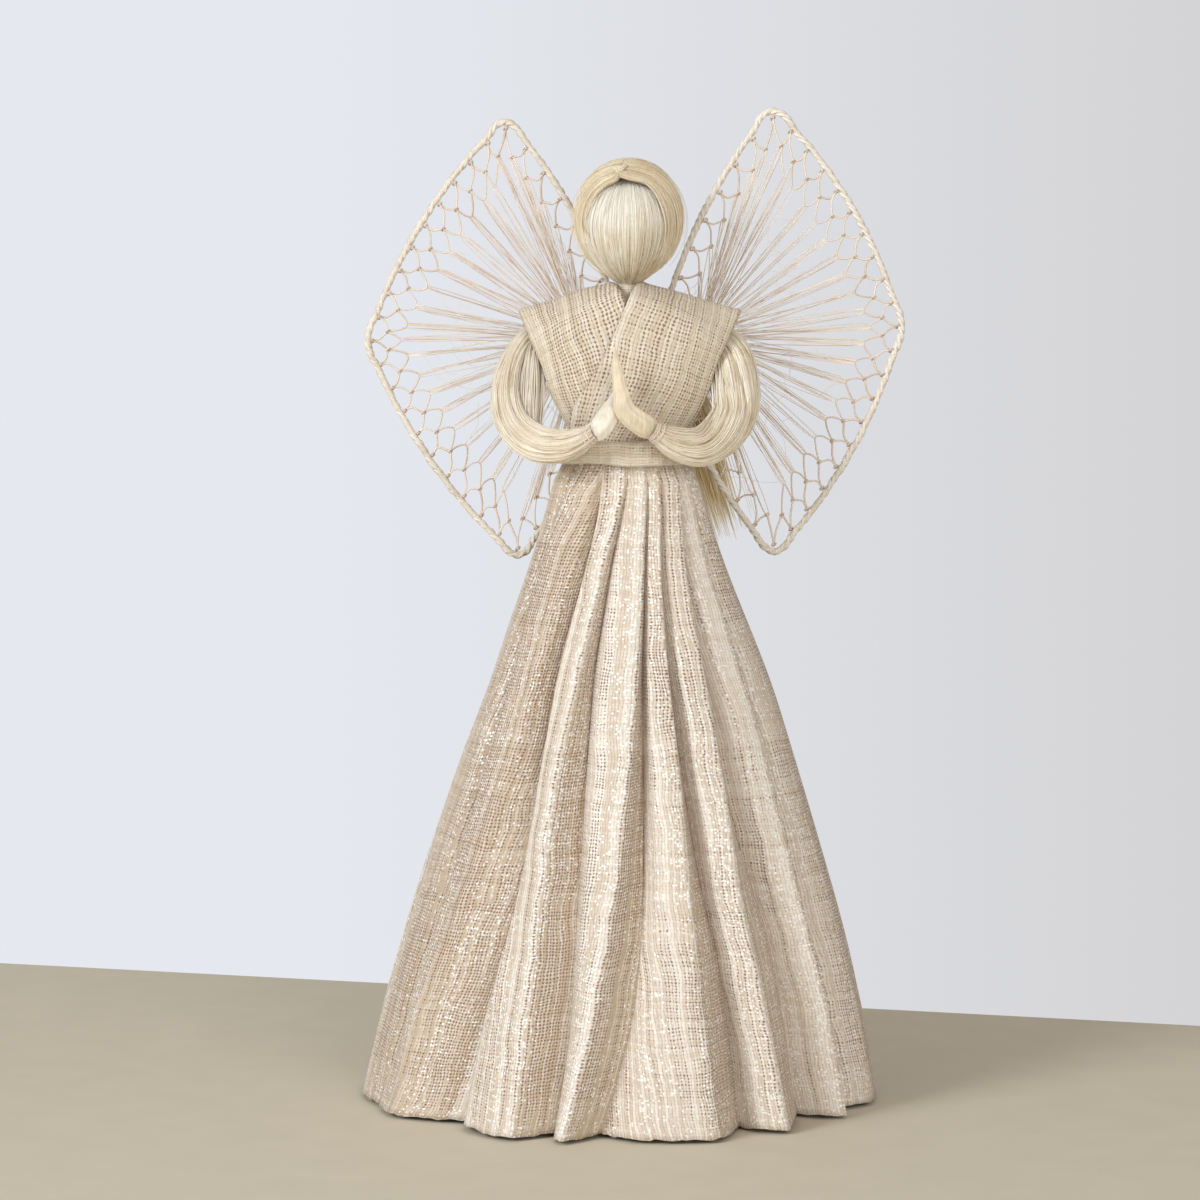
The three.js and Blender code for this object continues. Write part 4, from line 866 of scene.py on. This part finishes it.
hair_colours = [(0.96, 0.88, 0.73), (0.84, 0.73, 0.53), (0.50, 0.34, 0.18)]
hair_silk = silk("hair raffia", *hair_colours, 0.36)
hair_surface = combed("hair surface", *hair_colours)
for side, name, loose in [(-1, "left", 15), (1, "right", 70)]:
    strands = []
    for k in range(HAIR_COUNT):
        path = hank_path(side, (k + dice.random()) / HAIR_COUNT, between(0.955, 0.985))
        path += about(0, 0.08, 3) * sin(np.linspace(0, pi, len(path)))[:, None]
        # Painted shade: the right hank, away from the light, gets a darker tone than the left
        tone = np.clip(about(0.60 - 0.08 * side, 0.17), 0.05, 1)
        strands.append((path, between(0.09, 0.2) * np.minimum(1, 0.3 + 6 * even(len(path))), tone))
    for _ in range(loose):
        path = hank_path(side, between(-0.08, 0.02), between(1.02, 1.04))
        path, tone = path[: int(len(path) * between(0.7, 1.0))], between(0.3, 0.9)
        strands.append((path, between(0.05, 0.1), tone))
    for _ in range(26):
        path = hank_path(side, dice.random() ** 2, 1.0)
        lift = between(0.3, 1.6) * sin(np.linspace(0, pi, len(path)) * between(0.6, 1.0)) ** 2
        path += unit(path - HAIR_MIDDLE) * lift[:, None]
        strands.append((path[: int(len(path) * between(0.5, 0.95))], 0.06, 0.8))
    dress(fibres(f"hair_{name}_strands", strands), hair_silk, "fibre", f"hair_{name}")
    shell = np.array([hank_path(side, back, 0.965, 60) for back in even(72)])
    inner = HAIR_MIDDLE + (shell[::-1] - HAIR_MIDDLE) * 0.93
    backing = swept(f"hair_{name}_backing", np.concatenate([shell, inner]).swapaxes(0, 1))
    dress(backing, hair_surface, "fibre")

# The knot pinches both hanks together: short strands cross the parting, one over the other
knot_strands = []
for _ in range(KNOT_COUNT):
    rise = between(0, 0.45)
    tilt = math.radians(40 - 22 * rise)
    wide = 0.05 + 0.22 * rise * between(0.5, 1)
    bow = 0.06 * (1 - rise) + 0.02
    stations = [(parting + aside * wide, -math.sin(tilt) + up * 0.02, math.cos(tilt) + up * bow * dice.random())
                for aside, up in [(-1, 1), (0, -1), (1, 1)]]
    path = over_head(stations, 12, between(0.97, 1.012))
    knot_strands.append((path, 0.16, np.clip(about(0.6, 0.2), 0.02, 1)))
dress(fibres("parting_knot_strands", knot_strands), hair_silk, "fibre", "parting_knot")


# --- Hair tail: a loose golden hank tied at the nape, which falls behind the right wing to a ragged end ---
# Most strands keep together, and a few stand off from the bundle.
tail_route = [(-2, 9, 241.5), (-1.6, 15, 238), (-0.5, 20, 233.5), (3, 24.5, 227), (9, 26.2, 214), (17.5, 27, 194),
              (29, 27, 158)]
tail_widths = [3, 3, 3.1, 4.2, 5.6, 6.6, 6.2]
# The tail's colours and tones are partly its own deeper gold and partly painted light, raised to make up for the shade
# of the body and skirt on it
tail_silk = silk("tail raffia", (1.0, 0.90, 0.66), (1.0, 0.82, 0.50), (0.80, 0.58, 0.28), 0.36)
tail_paths, tail_halves = [], []
for _ in range(260):
    last = between(0.9, 1.0)
    tail_paths += bundle_paths(tail_route, tail_widths, 1, 34, 0.62, between(-0.8, 0.8), (0.15, 1.02), (0.0, last))
    dice.random()  # a spare draw, which keeps the later ones as they are
    tail_halves.append(between(0.14, 0.26) * np.minimum(1, 0.15 + 9 * np.linspace(1, 0, 34)))
for _ in range(24):
    tail_paths += bundle_paths(tail_route, tail_widths, 1, 34, 0.7, 1.5, (1.1, 1.5), (0.35, between(0.8, 1.0)))
    tail_halves.append(0.07)
tail_tones = np.clip(about(0.72, 0.2, len(tail_paths)), 0, 1)
dress(fibres("hair_tail_strands", zip(tail_paths, tail_halves, tail_tones)), tail_silk, "tail", "hair_tail")
tie("nape_thread", tail_route, tail_widths, 0.17, 0.27, 8, 0.66, 0.28)


# --- Wings: a kite of wire wrapped with raffia, looped lace inside it, and a fan of loose fibres ---
# Two rows of knotted loops hang on the outer sides and one on the inner sides. From the loops thin bundles
# run to one point near the root, each of a few fibres that never lie quite together.
WING_Y, STEM_Z, MEET_X = 18.4, 218.4, 2.0
# Each wing's side, its four corners and how much of each corner is rounded off
wings = {
    "left": (-1, [(-2.2, STEM_Z), (-37, 285), (-79.9, 217.2), (-33.4, 150.6)], [2, 10, 9, 10]),
    "right": (1, [(6.4, STEM_Z), (39.6, 289.6), (79.8, 221.6), (40.6, 150.6)], [2, 13, 9, 12]),
}
CELLS = [8, 10, 10, 8]
BOW = 3.0


def square_to(a, b):
    return unit(np.array([b[1] - a[1], a[0] - b[0]]))


def kite(corners, cuts, inset):
    """The wing's outline drawn in by a distance: four bowed sides between rounded corners"""
    corners = np.array(corners, float)
    facing = np.sign(np.dot(square_to(corners[0], corners[1]), corners[2] - corners[0]))
    inner = []
    for k in range(4):
        a, b = square_to(corners[k - 1], corners[k]), square_to(corners[k], corners[(k + 1) % 4])
        middle = unit(a + b)
        inner.append(corners[k] + middle * facing * inset / np.dot(middle, a))
    cuts = [max(cut - inset, 1.5) for cut in cuts]
    sides = []
    for k in range(4):
        corner, following = inner[k], inner[(k + 1) % 4]
        length = np.linalg.norm(following - corner)
        run = (following - corner) / length
        first, last = corner + run * cuts[k], following - run * cuts[(k + 1) % 4]
        bowed = (first + last) / 2 - square_to(corner, following) * facing * 2 * BOW * length / (length + 4 * inset)
        sides.append((corner, first, bowed, last, following))
    return sides


def bent(a, b, c, shares):
    t = np.asarray(shares)[:, None]
    return (1 - t) ** 2 * a + 2 * t * (1 - t) * b + t ** 2 * c


def kite_side(sides, k):
    before, here, after = sides[k - 1], sides[k], sides[(k + 1) % 4]
    return np.vstack([bent(before[3], here[0], here[1], np.linspace(0.5, 1, 7)),
                      bent(here[1], here[2], here[3], even(25)[1:-1]),
                      bent(here[3], after[0], after[1], np.linspace(0, 0.5, 7))])


def net(corners, cuts, inset):
    """Reads points of a drawn-in outline by side and share; near a corner the loops lean toward it"""
    inner, outer = kite(corners, cuts, inset), kite(corners, cuts, 0)
    runs = []
    for k in range(4):
        points, rim = kite_side(inner, k), kite_side(outer, k)
        side = rim[-1] - rim[0]
        ends = [np.dot(point - rim[0], side) / np.dot(side, side) for point in points[[0, -1]]]
        runs.append((points, distances(points), ends))

    def at(side, share):
        whole = math.floor(share)
        points, reached, (first, last) = runs[(side + whole) % 4]
        here = share - whole
        opposite = min(max((here - first) / (last - first), 0), 1)
        wanted = (opposite + (here - opposite) * 0.75) * reached[-1]
        return np.array([np.interp(wanted, reached, points[:, k]) for k in (0, 1)])
    return at


def in_plane(points, depth=0.0):
    points = np.atleast_2d(points)
    return points_at(points[:, 0], WING_Y + depth, points[:, 1])


def thread_through(stations, count):
    return curve_through(in_plane(stations), even(count))


wrap_silk = silk("wing wrap", (0.90, 0.87, 0.82), (0.78, 0.72, 0.64), (0.46, 0.35, 0.27), 0.5)
lace_silk = silk("lace thread", (0.97, 0.89, 0.81), (0.88, 0.75, 0.64), (0.58, 0.41, 0.30), 0.5)
# The fan's pale colours are partly the fibre's own and partly painted light, standing for the light that shines through
# the thin fibres
fan_silk = silk("fan fibres", (0.97, 0.91, 0.84), (0.92, 0.81, 0.71), (0.70, 0.53, 0.42), 0.42)
wire_steel, tree, shader = material_of("drawn wire", 0.35, Metallic=1.0)
drawn_tint = coloured(tree, clouds(tree, 900.0), (0, (0.32, 0.32, 0.33)), (1, (0.55, 0.55, 0.56)))
fill(shader, Base_Color=drawn_tint)
resurface(wire_steel, "arm_wire", "wing_left_wire", "wing_right_wire")

for name, (side, corners, cuts) in wings.items():
    sides = kite(corners, cuts, 0)
    root = corners[0][0]
    upper, lower = ([(MEET_X + side * 3.2, STEM_Z + 1.45 * up), (root + side * 0.9, STEM_Z + 2.0 * up)]
                    for up in (1, -1))
    rim = [upper]
    for k in range(4):
        whole_side = bent(*sides[k][1:4], even(7))
        rim.append(whole_side[int(k == 0):6 if k == 3 else 7])
        if k < 3:
            rim.append(bent(*sides[k][3:], sides[k + 1][1], even(5))[1:-1])
    rim = in_plane(np.vstack([*rim, lower[::-1]]))
    frames = frames_along(rim, even(400))
    reached = distances(frames[0])
    strands = [(frames[0], 0.92 + 0.08 * sin(reached * 0.4), 0.55)]
    for k in range(3):
        turn = reached / 7.5 * 2 * pi + k * 2 * pi / 3 + 0.5 * sin(reached * 0.11 + k)
        path = points_round(frames, 0.62 + 0.08 * sin(reached * 0.23 + 2 * k), turn)
        strands.append((path, 0.46 + 0.1 * sin(reached * 0.17 + k), between(0.35, 1.0)))
    dress(fibres(f"wing_{name}_wrapping", strands, sides=6), wrap_silk, "wrap", f"wing_{name}_wrap")

    # The lace: each loop is one curved thread, doubled where it is knotted
    rim_at, flank_at, foot_at, side_at, lip_at = (net(corners, cuts, inset) for inset in (1.25, 3.4, 5.5, 8.2, 9.7))
    strands, lips = [], []
    for k, n in [(k, n) for k, cells in enumerate(CELLS) for n in range(cells)]:
        share, cell = n / CELLS[k], 1 / CELLS[k]
        sway = about(0, 0.03, 6) * cell  # six draws, of which four are in use
        knot, following = rim_at(k, share), rim_at(k, share + cell)
        foot = foot_at(k, share + 0.5 * cell + sway[0])
        down, rise = flank_at(k, share + 0.1 * cell + sway[1]), flank_at(k, share + 0.9 * cell + sway[2])
        loop = thread_through([knot, down, foot + (down - foot) * 0.3, foot], 9)
        back = thread_through([foot, foot + (rise - foot) * 0.3, rise, following], 9)
        thread = between(0.23, 0.31)
        tones = between(0.3, 0.9, 2)
        strands += [(loop + [0, -0.2, 0], thread, tones[0]), (back + [0, 0.2, 0], thread, tones[1])]
        if k == 2 or (k == 1 and n > 0):
            low = lip_at(k, share + sway[3])
            left, right = side_at(k, share - 0.30 * cell), side_at(k, share + 0.30 * cell)
            second = thread_through([foot_at(k, share - 0.5 * cell), left, low, right, foot], 15)
            strands.append((second + [0, 0.15, 0], between(0.2, 0.28), between(0.3, 0.8)))
            lips.append(low)
        else:
            lips.append(foot)
        # Knots: a few turns of the thread, on the rim and where loops meet
        for spot, size, deep, turn_start in [(knot, 0.62, 1.25, 0), (knot, 0.62, 1.25, 2.1),
                                             (foot, 0.55, 0.55, 0), (foot, 0.55, 0.55, 2.1)]:
            turns = np.linspace(0, 2 * pi * 1.4, 12) + turn_start
            ring = points_at(size * cos(turns), deep * sin(turns), size * cos(turns + 1.1))
            strands.append((in_plane(spot) + ring, 0.22, between(0.2, 0.7)))
    dress(fibres(f"wing_{name}_loops", strands), lace_silk, "lace", f"wing_{name}_lace")

    # The fan: bundles of fine fibres from each loop's lip to one point, with fuzz between
    hub = np.array([root + side * 12.4, STEM_Z])
    strands = []
    shares = even(14)
    for tip in lips:
        reach = np.linalg.norm(tip - hub)
        if reach < 6:
            continue
        cross = np.array([-(tip - hub)[1], (tip - hub)[0]]) / reach
        bundle_tone = about(0.6, 0.16)
        for _ in range(int(dice.integers(6, 11))):
            aside = between(-1.2, 1.2) * min(1.0, reach / 30)
            flat_run = tip + (hub + cross * about(0, 1.2) - tip) * shares[:, None]
            spread = aside * (1 - shares) * (0.7 + 0.3 * np.minimum(1, shares / 0.08))
            flat_run = flat_run + cross * (spread + 0.1 * sin(shares * 9 + 5 * aside))[:, None]
            path = in_plane(flat_run, about(0, 0.4) * sin(pi * shares))
            strands.append((path, between(0.06, 0.12), np.clip(about(bundle_tone, 0.16), 0, 1)))
        for _ in range(3):
            turn = about(0, 0.5, 2)
            start = tip + (hub - tip) * between(0.0, 0.5)
            drift = np.cumsum(np.tile((hub - tip) / reach * between(0.3, 1.1), (14, 1))
                              + cross * (0.5 * sin(shares * 6 + turn[0] * 5)[:, None] + turn[1]), axis=0)
            strands.append((in_plane(start + drift * between(0.3, 0.9), about(0, 0.8) * shares), 0.05, 0.75))
    dress(fibres(f"wing_{name}_fan_fibres", strands), fan_silk, "fan", f"wing_{name}_fan")

root_line = [(MEET_X + x, WING_Y, STEM_Z) for x in (-3.4, -1, 1, 3.4)]
tie("wing_root_thread", root_line, [2.0] * 4, 0.1, 0.9, 9, 0.85, 0.32)
